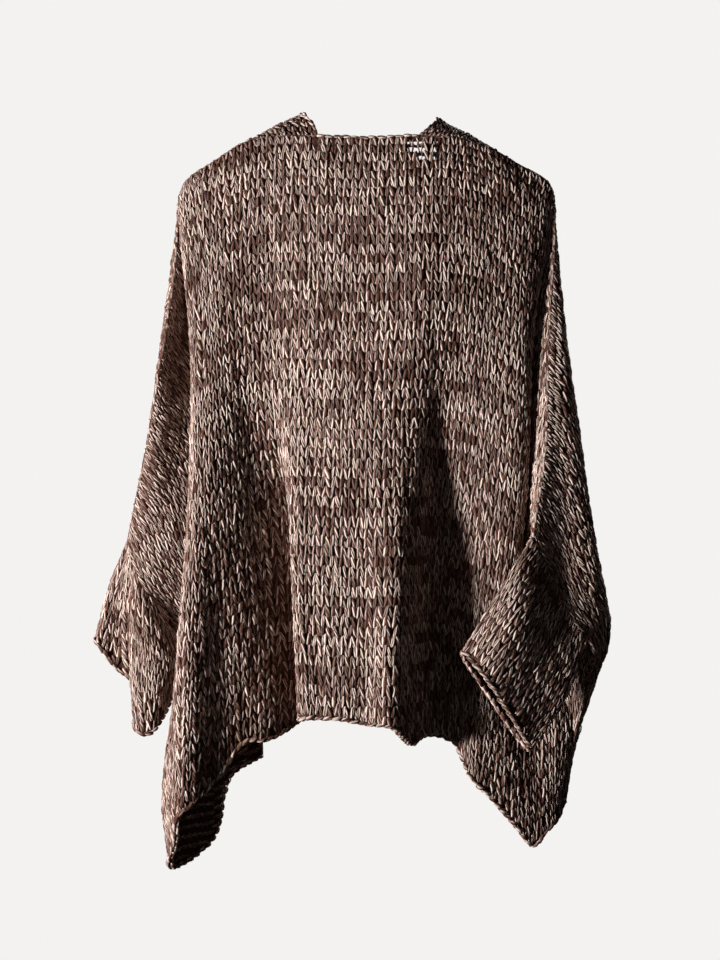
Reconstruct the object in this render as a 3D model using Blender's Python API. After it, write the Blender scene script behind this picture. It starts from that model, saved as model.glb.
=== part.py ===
"""An oversized open-front cardigan, hand knitted in very thick marled yarn, filled out as it is worn.

Frame: +Z up, the garment's front faces -Y, its back +Y, and +X is the wearer's left. The origin is the
middle of the neck opening, at the height of the shoulder seam. Everything is modelled in metres; the
tables are in centimetres.

Cut: one wide back, two fronts of the same cut, and two short straight sleeve tubes. The straight top
edges of back and fronts make one seam from the neck over the shoulder and on down the arm; the tubes are
sewn to the upper part of the side edges, and a short side seam closes the rest.

Each panel is drawn by its wales, the columns of stitches that run from the top edge to the hem. A row of
a table is one named wale: how far it lies from the centre of the cut, and the places it passes on its
way down, each as (share of its length, x, y, z).
"""

import bpy
import numpy as np

CM = 0.01
WALL = 0.0044  # a wall of thick stocking stitch
SEAM_GAP = 0.0003  # between two pieces that are sewn together
NECK_HALF = 5.4  # cm of cut from the centre back to the neck corner
SIDE_EDGE = 61.0  # cm of cut from the centre back to the side edge
UNDERARM = 0.28  # share of the side edge where the sleeve's seam ends and the side seam starts
PANEL_ROWS = (0.0, 0.04, 0.09, 0.15, 0.21, UNDERARM, 0.36, 0.45, 0.54, 0.63, 0.72, 0.81, 0.90, 1.0)
SLEEVE_ROWS = (0.0, 0.2, 0.4, 0.6, 0.8, 1.0)

# The shoulder seam from the neck corner to the shoulder tip, and on down the arm: cut, x, y, z
SEAM_LEFT = (
    (0.0, 0.0, 5.3, -1.0),
    (5.4, 5.4, 5.0, -0.8),
    (9.0, 9.0, 4.7, -0.7),
    (12.8, 12.7, 4.4, -1.2),
    (17.5, 16.7, 4.2, -3.5),
    (22.0, 19.9, 3.8, -5.9),
    (25.5, 20.4, 3.9, -9.2),
    (34.0, 21.2, 4.4, -17.4),
    (42.0, 22.5, 4.2, -25.4),
    (51.0, 24.1, 2.2, -34.3),
    (61.0, 26.3, -0.3, -44.2),
)
SEAM_RIGHT = (
    (0.0, 0.0, 5.3, -1.0),
    (5.4, -5.4, 5.0, -0.8),
    (9.0, -9.0, 4.7, -0.8),
    (12.8, -12.2, 4.0, -1.5),
    (17.5, -16.2, 3.9, -3.7),
    (21.5, -19.5, 3.8, -5.8),
    (25.5, -20.0, 4.4, -9.7),
    (34.0, -19.6, 5.7, -18.0),
    (42.0, -19.2, 6.9, -25.8),
    (51.0, -18.8, 8.3, -34.4),
    (61.0, -17.3, 10.3, -43.8),
)

# Back, left half: wale, cut, then (share, x, y, z) below the seam
BACK_LEFT = (
    ("centre", 0.0, ((0.10, 0.2, 7.6, -6.6), (0.28, 0.3, 9.2, -17.9), (0.52, 0.5, 10.5, -33.1), (0.76, 0.5, 12.2, -48.2), (1.0, 0.4, 13.4, -63.1))),
    ("crest", 3.2, ((0.10, 3.2, 7.5, -6.6), (0.28, 3.3, 9.2, -17.9), (0.52, 3.4, 10.5, -33.0), (0.76, 3.5, 12.4, -48.1), (1.0, 3.2, 13.7, -62.6))),
    ("neck_corner", 5.4, ((0.10, 5.4, 7.4, -6.4), (0.28, 5.4, 9.1, -17.7), (0.52, 5.6, 10.3, -32.9), (0.76, 5.8, 12.4, -47.9), (1.0, 5.4, 13.6, -62.5))),
    ("crest_edge", 8.0, ((0.10, 8.0, 7.2, -6.4), (0.28, 8.0, 8.9, -17.7), (0.52, 8.0, 10.1, -32.9), (0.64, 7.9, 11.1, -40.4), (0.76, 7.7, 12.2, -47.9), (1.0, 7.0, 13.3, -62.6))),
    ("valley", 11.0, ((0.10, 10.9, 6.9, -6.5), (0.28, 10.8, 8.5, -17.9), (0.52, 9.7, 8.9, -33.2), (0.64, 8.5, 7.2, -40.9), (0.76, 7.9, 6.4, -48.6), (1.0, 7.3, 6.2, -63.5))),
    ("valley_far_side", 13.6, ((0.04, 13.4, 5.8, -3.8), (0.10, 13.5, 7.0, -7.2), (0.28, 13.2, 8.8, -18.6), (0.52, 12.3, 9.4, -34.1), (0.76, 10.9, 8.3, -49.6), (1.0, 10.5, 8.7, -65.2))),
    ("second_crest", 16.5, ((0.04, 16.2, 5.9, -5.2), (0.10, 16.2, 7.1, -8.4), (0.28, 15.7, 9.1, -19.6), (0.52, 14.6, 10.9, -35.1), (0.76, 13.6, 10.2, -50.4), (1.0, 13.2, 9.7, -65.4))),
    ("shallow_valley", 19.5, ((0.04, 18.6, 6.0, -6.5), (0.10, 18.3, 7.2, -10.0), (0.28, 17.4, 9.4, -21.5), (0.52, 16.7, 12.0, -37.0), (0.76, 16.2, 11.3, -52.4), (1.0, 15.9, 10.8, -69.0))),
    ("rim", 22.0, ((0.04, 20.1, 5.6, -7.8), (0.10, 19.8, 6.9, -11.4), (0.28, 18.5, 9.4, -23.0), (0.52, 18.2, 12.1, -38.6), (0.76, 18.4, 12.8, -54.0), (1.0, 18.6, 12.9, -71.6))),
    ("fold_edge", 25.0, ((0.10, 19.4, 5.0, -14.0), (0.28, 18.6, 7.2, -25.4), (0.52, 18.8, 10.0, -40.8), (0.76, 19.8, 12.2, -56.2), (0.9, 20.0, 12.8, -65.8), (1.0, 19.9, 13.1, -72.9))),
    ("pocket_near", 28.5, ((0.10, 18.7, 2.4, -16.8), (0.28, 17.6, 3.4, -28.0), (0.52, 17.9, 5.6, -43.4), (0.76, 19.8, 9.4, -58.8), (0.92, 21.3, 10.6, -70.6), (1.0, 20.3, 11.8, -76.0))),
    ("pocket_side", 31.0, ((0.10, 18.9, 1.8, -19.1), (0.28, 17.0, 2.0, -30.0), (0.52, 17.1, 3.8, -45.4), (0.76, 19.2, 7.4, -60.8), (0.92, 21.6, 8.9, -72.2), (1.0, 20.9, 10.1, -77.6))),
    ("hem_tip", 34.0, ((0.045, 20.7, 2.6, -19.4), (0.10, 19.4, 1.4, -21.8), (0.28, 16.4, 0.9, -32.4), (0.52, 16.2, 2.4, -47.6), (0.76, 18.2, 5.8, -62.8), (0.92, 20.8, 7.4, -73.6), (1.0, 20.9, 8.6, -78.8))),
    ("pocket_far", 42.0, ((0.045, 21.8, 2.9, -27.1), (0.10, 20.4, 1.5, -29.2), (0.28, 17.0, -0.4, -38.8), (0.52, 15.4, 0.6, -51.8), (0.76, 16.0, 3.0, -64.4), (1.0, 16.8, 4.2, -76.4))),
    ("under_the_arm", 51.0, ((0.045, 23.1, 2.2, -35.8), (0.10, 21.8, 1.2, -37.6), (0.28, 18.8, 0.2, -45.6), (0.52, 16.6, 0.2, -55.4), (0.76, 15.4, 1.4, -63.8), (1.0, 15.5, 1.8, -70.6))),
    ("side_edge", 61.0, ((0.09, 25.7, 1.0, -46.6), (0.19, 24.2, 1.6, -50.0), (0.28, 22.0, 0.2, -52.8), (0.52, 18.0, -0.6, -58.2), (0.76, 14.4, -1.2, -63.0), (0.92, 11.9, -1.6, -66.3), (1.0, 11.8, -1.8, -68.2))),
)
BACK_RIGHT = (
    ("crest_edge", 3.6, ((0.10, -3.6, 7.5, -6.6), (0.28, -3.6, 9.2, -17.8), (0.52, -3.2, 10.2, -33.0), (0.76, -3.2, 12.2, -48.2), (1.0, -2.9, 13.2, -63.8))),
    ("neck_corner", 5.4, ((0.10, -5.4, 7.4, -6.4), (0.28, -5.4, 9.2, -17.8), (0.52, -4.9, 9.6, -33.0), (0.76, -4.4, 10.6, -48.4), (1.0, -4.2, 10.0, -65.5))),
    ("valley", 8.5, ((0.10, -8.4, 7.0, -6.4), (0.28, -8.3, 8.6, -17.7), (0.52, -7.4, 7.8, -33.0), (0.76, -6.2, 6.5, -48.4), (1.0, -6.1, 6.0, -65.1))),
    ("valley_far_side", 12.0, ((0.10, -11.5, 6.6, -6.8), (0.28, -11.3, 8.1, -18.1), (0.52, -10.5, 7.6, -33.5), (0.76, -9.2, 6.5, -48.9), (1.0, -9.2, 6.0, -65.8))),
    ("second_crest", 15.5, ((0.04, -14.5, 5.5, -5.2), (0.10, -14.4, 6.3, -8.2), (0.28, -14.0, 7.5, -19.4), (0.52, -13.4, 7.6, -34.8), (0.76, -12.2, 7.0, -50.5), (1.0, -10.9, 7.0, -69.4))),
    ("fold_edge", 18.8, ((0.04, -17.2, 5.2, -7.0), (0.10, -17.1, 5.8, -10.2), (0.28, -16.6, 7.0, -21.4), (0.52, -16.0, 7.4, -36.8), (0.64, -15.3, 7.2, -44.6), (0.76, -14.4, 6.7, -52.8), (1.0, -13.4, 6.1, -72.1))),
    ("fold_return", 21.5, ((0.04, -18.9, 4.8, -8.4), (0.10, -18.7, 5.2, -11.6), (0.28, -17.4, 6.1, -22.8), (0.52, -16.8, 6.5, -38.2), (0.64, -16.1, 6.1, -46.2), (0.76, -15.8, 5.6, -54.8), (1.0, -16.0, 5.1, -75.2))),
    ("pocket", 25.0, ((0.10, -18.7, 4.2, -15.0), (0.28, -16.8, 4.2, -25.8), (0.52, -16.1, 4.8, -41.0), (0.64, -16.0, 4.4, -49.0), (0.76, -16.9, 4.6, -57.4), (1.0, -17.5, 4.5, -77.1))),
    ("hem_tip", 31.0, ((0.10, -18.5, 4.9, -20.6), (0.28, -16.8, 3.4, -31.2), (0.52, -16.6, 3.8, -46.0), (0.76, -18.6, 4.2, -61.0), (1.0, -19.1, 3.8, -75.8))),
    ("arm_back", 38.0, ((0.10, -18.5, 6.4, -26.6), (0.28, -17.2, 4.0, -36.5), (0.52, -17.2, 3.4, -49.5), (0.76, -20.0, 4.0, -62.4), (1.0, -20.1, 3.2, -74.9))),
    ("arm_lower", 45.0, ((0.10, -18.3, 7.0, -32.6), (0.28, -17.1, 4.0, -41.8), (0.52, -18.4, 3.2, -53.4), (0.76, -21.2, 3.5, -63.6), (1.0, -20.6, 2.7, -74.2))),
    ("arm_end", 53.0, ((0.10, -17.9, 7.8, -39.6), (0.28, -17.6, 4.6, -46.4), (0.52, -20.8, 3.4, -56.6), (0.76, -21.9, 3.1, -65.0), (1.0, -20.9, 2.3, -73.4))),
    ("side_edge", 61.0, ((0.09, -17.6, 8.2, -45.8), (0.19, -19.7, 7.4, -50.0), (0.28, -23.3, 8.4, -54.8), (0.52, -23.5, 4.2, -60.4), (0.76, -22.2, 2.8, -66.4), (1.0, -21.3, 2.0, -72.8))),
)

# Fronts: the free edge first, then out to the side edge
FRONT_LEFT = (
    ("front_edge", 5.4, ((0.035, 5.9, 3.2, 0.8), (0.09, 7.4, 0.4, 2.2), (0.17, 7.7, -4.6, -0.8), (0.28, 7.6, -8.4, -7.8), (0.52, 7.4, -11.6, -24.4), (0.76, 7.2, -13.2, -41.6), (1.0, 6.9, -14.2, -59.0))),
    ("front_fold", 9.0, ((0.035, 9.4, 3.0, 0.4), (0.09, 10.1, 0.2, 0.9), (0.17, 10.8, -4.6, -1.6), (0.28, 10.8, -8.8, -8.8), (0.52, 10.6, -12.6, -25.4), (0.76, 10.2, -14.4, -42.4), (1.0, 9.8, -15.4, -59.6))),
    ("front_hollow", 13.0, ((0.035, 13.1, 2.4, -1.1), (0.09, 13.6, -0.2, -1.6), (0.17, 14.3, -4.6, -4.0), (0.28, 14.3, -8.4, -11.4), (0.52, 13.7, -11.8, -27.6), (0.76, 12.8, -12.2, -44.6), (1.0, 12.4, -12.2, -61.8))),
    ("front_crest", 17.5, ((0.035, 17.1, 1.0, -4.0), (0.09, 17.4, -1.6, -5.4), (0.17, 17.9, -4.8, -8.4), (0.28, 17.6, -8.2, -15.6), (0.52, 16.8, -12.0, -31.4), (0.76, 16.0, -13.8, -47.8), (1.0, 15.8, -15.0, -64.4))),
    ("front_rim", 22.0, ((0.035, 20.2, 2.0, -7.0), (0.09, 20.2, -0.8, -9.4), (0.17, 20.2, -4.4, -13.4), (0.28, 19.5, -7.8, -20.4), (0.52, 18.9, -11.0, -36.0), (0.76, 19.0, -12.2, -52.2), (1.0, 19.6, -13.0, -69.0))),
    ("front_pocket", 26.5, ((0.035, 20.8, 2.2, -11.6), (0.09, 20.5, -0.6, -14.0), (0.17, 19.9, -4.2, -18.0), (0.28, 18.9, -7.0, -24.8), (0.52, 18.6, -9.2, -40.4), (0.76, 19.6, -10.2, -56.4), (1.0, 20.8, -10.6, -73.2))),
    ("front_arm", 34.0, ((0.035, 21.8, 2.2, -18.6), (0.09, 21.1, -0.8, -21.0), (0.17, 19.4, -4.2, -25.2), (0.28, 17.6, -6.0, -31.8), (0.52, 17.2, -6.6, -46.8), (0.76, 18.2, -7.4, -61.6), (1.0, 19.4, -7.4, -76.0))),
    ("front_arm_lower", 42.0, ((0.035, 22.9, 1.6, -26.6), (0.09, 22.0, -1.4, -28.8), (0.17, 19.8, -4.4, -32.6), (0.28, 17.7, -5.4, -38.6), (0.52, 16.2, -5.4, -51.2), (0.76, 16.6, -5.4, -63.6), (1.0, 17.2, -5.2, -75.4))),
    ("front_arm_end", 51.0, ((0.035, 24.1, -0.6, -35.6), (0.09, 23.2, -3.0, -37.6), (0.17, 21.3, -4.6, -40.8), (0.28, 19.2, -4.6, -45.2), (0.52, 16.9, -3.8, -54.8), (0.76, 15.6, -3.8, -64.2), (1.0, 15.0, -3.8, -70.2))),
    ("side_edge", 61.0, ((0.09, 26.4, -5.0, -46.4), (0.19, 24.8, -5.2, -50.4), (0.28, 22.0, 0.2, -52.8), (0.52, 18.0, -0.6, -58.2), (0.76, 14.4, -1.2, -63.0), (0.92, 11.9, -1.6, -66.3), (1.0, 11.8, -1.8, -68.2))),
)
FRONT_RIGHT = (
    ("front_edge", 5.4, ((0.035, -6.4, 3.2, 0.3), (0.09, -7.8, 0.4, 1.7), (0.17, -8.0, -4.6, -1.2), (0.28, -7.8, -8.4, -8.2), (0.52, -7.4, -11.6, -24.8), (0.76, -7.0, -13.2, -42.0), (1.0, -6.6, -14.0, -59.4))),
    ("front_fold", 9.0, ((0.035, -9.6, 3.0, 0.1), (0.09, -10.3, 0.2, 0.1), (0.17, -10.9, -4.6, -2.0), (0.28, -10.8, -8.6, -9.2), (0.52, -10.2, -12.2, -25.8), (0.76, -9.6, -13.8, -42.8), (1.0, -9.2, -14.6, -60.0))),
    ("front_hollow", 13.0, ((0.035, -12.8, 2.4, -1.5), (0.09, -13.4, -0.2, -2.1), (0.17, -14.2, -4.6, -4.4), (0.28, -14.2, -8.6, -11.8), (0.52, -13.4, -12.4, -28.0), (0.76, -12.4, -13.4, -45.0), (1.0, -12.0, -13.8, -62.2))),
    ("front_crest", 17.5, ((0.035, -16.6, 1.2, -4.3), (0.09, -17.1, -1.4, -5.7), (0.17, -17.8, -4.8, -8.8), (0.28, -17.6, -8.2, -16.0), (0.52, -16.8, -11.4, -31.8), (0.76, -16.2, -12.4, -48.2), (1.0, -15.8, -12.8, -64.8))),
    ("front_rim", 22.0, ((0.035, -19.8, 0.2, -7.6), (0.09, -20.2, -2.4, -10.0), (0.17, -20.2, -5.4, -14.2), (0.28, -20.0, -8.4, -21.0), (0.52, -19.2, -11.4, -36.4), (0.76, -19.2, -12.8, -52.4), (1.0, -19.4, -13.8, -68.6))),
    ("front_pocket", 26.5, ((0.035, -20.2, 3.4, -11.8), (0.09, -20.4, 1.6, -14.4), (0.17, -20.6, -2.0, -18.8), (0.28, -20.4, -7.2, -25.6), (0.52, -20.0, -10.2, -41.0), (0.76, -20.6, -11.0, -56.8), (1.0, -21.0, -11.4, -72.4))),
    ("front_arm", 34.0, ((0.035, -20.5, 5.5, -19.4), (0.09, -21.1, 4.9, -22.0), (0.17, -21.6, 3.4, -26.4), (0.28, -22.0, -0.8, -32.8), (0.52, -21.4, -7.8, -47.0), (0.76, -21.0, -8.4, -61.4), (1.0, -20.8, -8.4, -74.6))),
    ("front_arm_lower", 42.0, ((0.035, -20.5, 6.8, -27.2), (0.09, -21.6, 6.5, -29.6), (0.17, -22.6, 5.8, -33.6), (0.28, -23.3, 4.2, -39.6), (0.40, -23.6, 1.0, -46.2), (0.52, -23.2, -3.2, -52.0), (0.76, -21.8, -5.8, -63.6), (1.0, -21.2, -5.6, -74.2))),
    ("front_arm_end", 51.0, ((0.035, -20.1, 7.8, -35.8), (0.09, -21.5, 7.6, -38.2), (0.17, -22.9, 7.4, -41.8), (0.28, -24.3, 7.4, -47.0), (0.40, -25.7, 5.9, -53.4), (0.52, -24.6, 2.8, -58.2), (0.76, -22.6, 0.2, -65.8), (1.0, -21.5, -2.0, -73.4))),
    ("side_edge", 61.0, ((0.035, -17.9, 10.0, -45.2), (0.09, -19.4, 8.9, -47.7), (0.19, -21.5, 9.2, -52.4), (0.28, -23.3, 8.4, -54.8), (0.52, -23.5, 4.2, -60.4), (0.76, -22.2, 2.8, -66.4), (1.0, -21.3, 2.0, -72.8))),
)

# Sleeve tubes, going round from the top of the arm over the back side and the underside and home by the
# front side: the share of the panel's side edge where each line leaves it ("back" or "front" half), then
# where it is halfway down and at the cuff's edge: x, y, z
SLEEVE_LEFT = (
    ("arm_top", "back", 0.0, (28.4, -1.2, -50.0), (29.8, -0.9, -55.6)),
    ("outer_face", "back", 0.035, (27.5, -1.4, -51.8), (27.9, -1.7, -58.3)),
    ("fold_hollow", "back", 0.07, (25.4, -0.9, -53.6), (24.6, -1.6, -61.2)),
    ("fold_ridge", "back", 0.105, (25.8, 1.9, -55.2), (25.2, 4.0, -63.6)),
    ("lobe", "back", 0.17, (23.8, 4.0, -57.4), (23.6, 5.4, -64.9)),
    ("lobe_side", "back", 0.23, (21.4, 2.8, -57.4), (22.2, 3.4, -63.0)),
    ("underside", "back", UNDERARM, (20.6, 0.0, -56.4), (21.2, 0.2, -60.2)),
    ("front_low", "front", 0.22, (22.8, -5.0, -54.8), (22.4, -5.4, -59.0)),
    ("front_side", "front", 0.14, (26.0, -7.2, -52.4), (26.2, -8.4, -57.0)),
    ("front_top", "front", 0.06, (28.2, -5.8, -50.2), (29.3, -7.4, -55.6)),
)
SLEEVE_RIGHT = (
    ("arm_top", "back", 0.0, (-13.8, 12.1, -49.6), (-9.9, 13.0, -55.6)),
    ("far_upper", "back", 0.06, (-14.0, 10.6, -50.6), (-10.5, 11.6, -57.0)),
    ("far_side", "back", 0.13, (-16.0, 8.8, -54.2), (-12.8, 10.2, -60.4)),
    ("far_lower", "back", 0.21, (-18.6, 8.2, -58.0), (-15.2, 9.7, -64.0)),
    ("underside", "back", UNDERARM, (-20.6, 9.4, -60.8), (-16.9, 10.8, -66.0)),
    ("near_lower", "front", 0.22, (-19.8, 10.2, -59.0), (-16.6, 11.0, -65.0)),
    ("near_side", "front", 0.15, (-17.9, 11.2, -55.8), (-14.4, 12.7, -61.4)),
    ("near_upper", "front", 0.07, (-15.6, 12.9, -51.8), (-11.8, 13.9, -57.6)),
)

YARN_DARK = (0.055, 0.038, 0.032)


def spline(knots, values, at):
    """A smooth curve through values at the knots, read at the places in at. It turns less between close knots."""
    knots, values, at = np.asarray(knots, float), np.asarray(values, float), np.asarray(at, float)
    step = np.diff(knots)
    slope = np.diff(values, axis=0) / step.reshape(-1, *[1] * (values.ndim - 1))
    tangent = np.empty_like(values)
    tangent[0], tangent[-1] = slope[0], slope[-1]
    before, after = step[:-1], step[1:]
    share = (after / (before + after)).reshape(-1, *[1] * (values.ndim - 1))
    tangent[1:-1] = slope[:-1] * share + slope[1:] * (1 - share)
    i = np.clip(np.searchsorted(knots, at, side="right") - 1, 0, len(step) - 1)
    s = ((at - knots[i]) / step[i]).reshape(-1, *[1] * (values.ndim - 1))
    h = step[i].reshape(s.shape)
    return (
        values[i] * (1 + 2 * s) * (1 - s) ** 2
        + tangent[i] * h * s * (1 - s) ** 2
        + values[i + 1] * s * s * (3 - 2 * s)
        + tangent[i + 1] * h * s * s * (s - 1)
    )


def wales(table, seam, shares):
    """Each wale of a panel at the given shares of its length: (cuts, points[share, wale])."""
    cuts = [cut for _, cut, _ in table]
    knots = [row[0] for row in seam]
    tops = spline(knots, [row[1:] for row in seam], cuts)
    lines = []
    for top, (_, _, places) in zip(tops, table):
        lines.append(spline([0.0] + [p[0] for p in places], [top] + [p[1:] for p in places], shares))
    return np.array(cuts), np.stack(lines, axis=1)


def seam_line(seam, columns):
    return spline([row[0] for row in seam], [row[1:] for row in seam], columns) * CM


def front_panel(table, seam, columns, shares):
    cuts, lines = wales(table, seam, shares)
    points = np.stack([spline(cuts, row, columns) for row in lines]) * CM
    # Fronts and back have one seam line between them.
    fade = np.clip(1 - np.asarray(shares) / 0.09, 0, 1)[:, None, None]
    return points + fade * (seam_line(seam, columns) - spline(cuts, wales(table, seam, [0.0])[1][0], columns) * CM)


def back_panel(columns, shares):
    """The whole back, its columns running from the right side edge (below 0) to the left one."""
    left_cuts, left = wales(BACK_LEFT, SEAM_LEFT, shares)
    right_cuts, right = wales(BACK_RIGHT, SEAM_RIGHT, shares)
    cuts = np.concatenate([-right_cuts[::-1], left_cuts])
    lines = np.concatenate([right[:, ::-1], left], axis=1)
    points = np.stack([spline(cuts, row, columns) for row in lines]) * CM
    tops = np.concatenate([wales(BACK_RIGHT, SEAM_RIGHT, [0.0])[1][0][::-1], wales(BACK_LEFT, SEAM_LEFT, [0.0])[1][0]])
    columns = np.asarray(columns)
    top = np.where(columns[:, None] < 0, seam_line(SEAM_RIGHT, abs(columns)), seam_line(SEAM_LEFT, abs(columns)))
    fade = np.clip(1 - np.asarray(shares) / 0.09, 0, 1)[:, None, None]
    return points + fade * (top - spline(cuts, tops, columns) * CM)


def side_edge(table, seam, shares):
    return wales(table[-1:], seam, shares)[1][:, 0] * CM


def sleeve_tube(table, back_table, front_table, seam, along, around):
    """A tube from the side edges of back and front to the cuff: points[along, around], closed on itself."""
    lines, stations = [], []
    for i, (_, half, share, middle, cuff) in enumerate(table):
        start = side_edge(back_table if half == "back" else front_table, seam, [share])[0] / CM
        lines.append(spline([0.0, 0.5, 1.0], [start, middle, cuff], along))
        stations.append(share if half == "back" else 2 * UNDERARM - share)
    lines = np.stack(lines, axis=1)
    turn = 2 * UNDERARM
    stations = np.array(stations)
    knots = np.concatenate([stations[-2:] - turn, stations, stations[:3] + turn])
    closed = np.concatenate([lines[:, -2:], lines, lines[:, :3]], axis=1)
    points = np.stack([spline(knots, row, around) for row in closed]) * CM
    # The first ring is the side edges themselves.
    around = np.asarray(around)
    on_back = around <= UNDERARM
    ring = np.where(
        on_back[:, None],
        side_edge(back_table, seam, np.where(on_back, around, UNDERARM)),
        side_edge(front_table, seam, np.where(on_back, UNDERARM, turn - around)),
    )
    # What the ring is moved by fades out down the tube.
    fade = np.clip(1 - np.asarray(along) / 0.6, 0, 1) ** 2
    return points + fade[:, None, None] * (ring - points[0])[None]


def across(points, wrap):
    """The direction along each row, at every point."""
    if wrap:
        return np.roll(points, -1, axis=1) - np.roll(points, 1, axis=1)
    return np.gradient(points, axis=1)


def normals(points, wrap=False):
    n = np.cross(across(points, wrap), np.gradient(points, axis=0))
    return n / np.linalg.norm(n, axis=2, keepdims=True)


def unit(v):
    return v / np.maximum(np.linalg.norm(v, axis=-1, keepdims=True), 1e-12)


def share_normals(*edges):
    """Gives the edges that are sewn together one normal at each point, so that their walls meet face to face."""
    mean = unit(sum(grid[where] for grid, where in edges))
    for grid, where in edges:
        grid[where] = mean


def draw_back(points, normal, edge, inside, by):
    """Moves an edge into its own panel, square to the seam, to leave the gap of a seam."""
    line = points[edge]
    along = unit(np.gradient(line, axis=0))
    inward = unit(np.cross(along, normal[edge]))
    inward *= np.sign(np.sum(inward * (points[inside] - line), axis=-1, keepdims=True))
    line += inward * np.broadcast_to(np.asarray(by, float), len(line))[:, None]


def shell(name, points, normal, wrap=False, colour=YARN_DARK):
    """A closed wall of even thickness over a grid of points, open where the grid is open."""
    rows, columns = points.shape[:2]
    outer, inner = points + normal * WALL / 2, points - normal * WALL / 2
    verts = np.concatenate([outer.reshape(-1, 3), inner.reshape(-1, 3)])
    n = rows * columns

    def at(i, j):
        return i * columns + j % columns

    faces, rims = [], []
    for i in range(rows - 1):
        for j in range(columns if wrap else columns - 1):
            a, b, c, d = at(i, j), at(i, j + 1), at(i + 1, j + 1), at(i + 1, j)
            faces.append((a, b, c, d))
            faces.append((n + d, n + c, n + b, n + a))
    for j in range(columns if wrap else columns - 1):
        rims.append((n + at(0, j), n + at(0, j + 1), at(0, j + 1), at(0, j)))
        rims.append((at(rows - 1, j), at(rows - 1, j + 1), n + at(rows - 1, j + 1), n + at(rows - 1, j)))
    if not wrap:
        for i in range(rows - 1):
            rims.append((at(i, 0), at(i + 1, 0), n + at(i + 1, 0), n + at(i, 0)))
            last = columns - 1
            rims.append((n + at(i, last), n + at(i + 1, last), at(i + 1, last), at(i, last)))
    # Each rim face turns about its own middle, so that two rims that are sewn together have the same shape.
    middles = len(verts) + np.arange(len(rims))
    verts = np.concatenate([verts, verts[np.array(rims)].mean(axis=1)])
    for middle, rim in zip(middles.tolist(), rims):
        faces += [(rim[k], rim[(k + 1) % 4], middle) for k in range(4)]
    mesh = bpy.data.meshes.new(name)
    mesh.from_pydata(verts.tolist(), [], faces)
    if volume(verts, faces) < 0:
        mesh.flip_normals()
    mesh.shade_smooth()
    mesh.set_sharp_from_angle(angle=0.9)
    yarn = bpy.data.materials.new(name + "_yarn")
    yarn.use_nodes = True
    surface = yarn.node_tree.nodes["Principled BSDF"]
    surface.inputs["Base Color"].default_value = (*colour, 1)
    surface.inputs["Roughness"].default_value = 0.95
    surface.inputs["Metallic"].default_value = 0.0
    mesh.materials.append(yarn)
    piece = bpy.data.objects.new(name, mesh)
    bpy.context.scene.collection.objects.link(piece)
    return piece


def volume(verts, faces):
    total = 0.0
    for face in faces:
        for k in range(1, len(face) - 1):
            total += np.dot(verts[face[0]], np.cross(verts[face[k]], verts[face[k + 1]]))
    return total / 6


def between(knots, extra=1):
    """The knots, with extra places evenly between each pair."""
    out = []
    for a, b in zip(knots[:-1], knots[1:]):
        out += [a + (b - a) * k / (extra + 1) for k in range(extra + 1)]
    return np.array(out + [knots[-1]])


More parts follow.
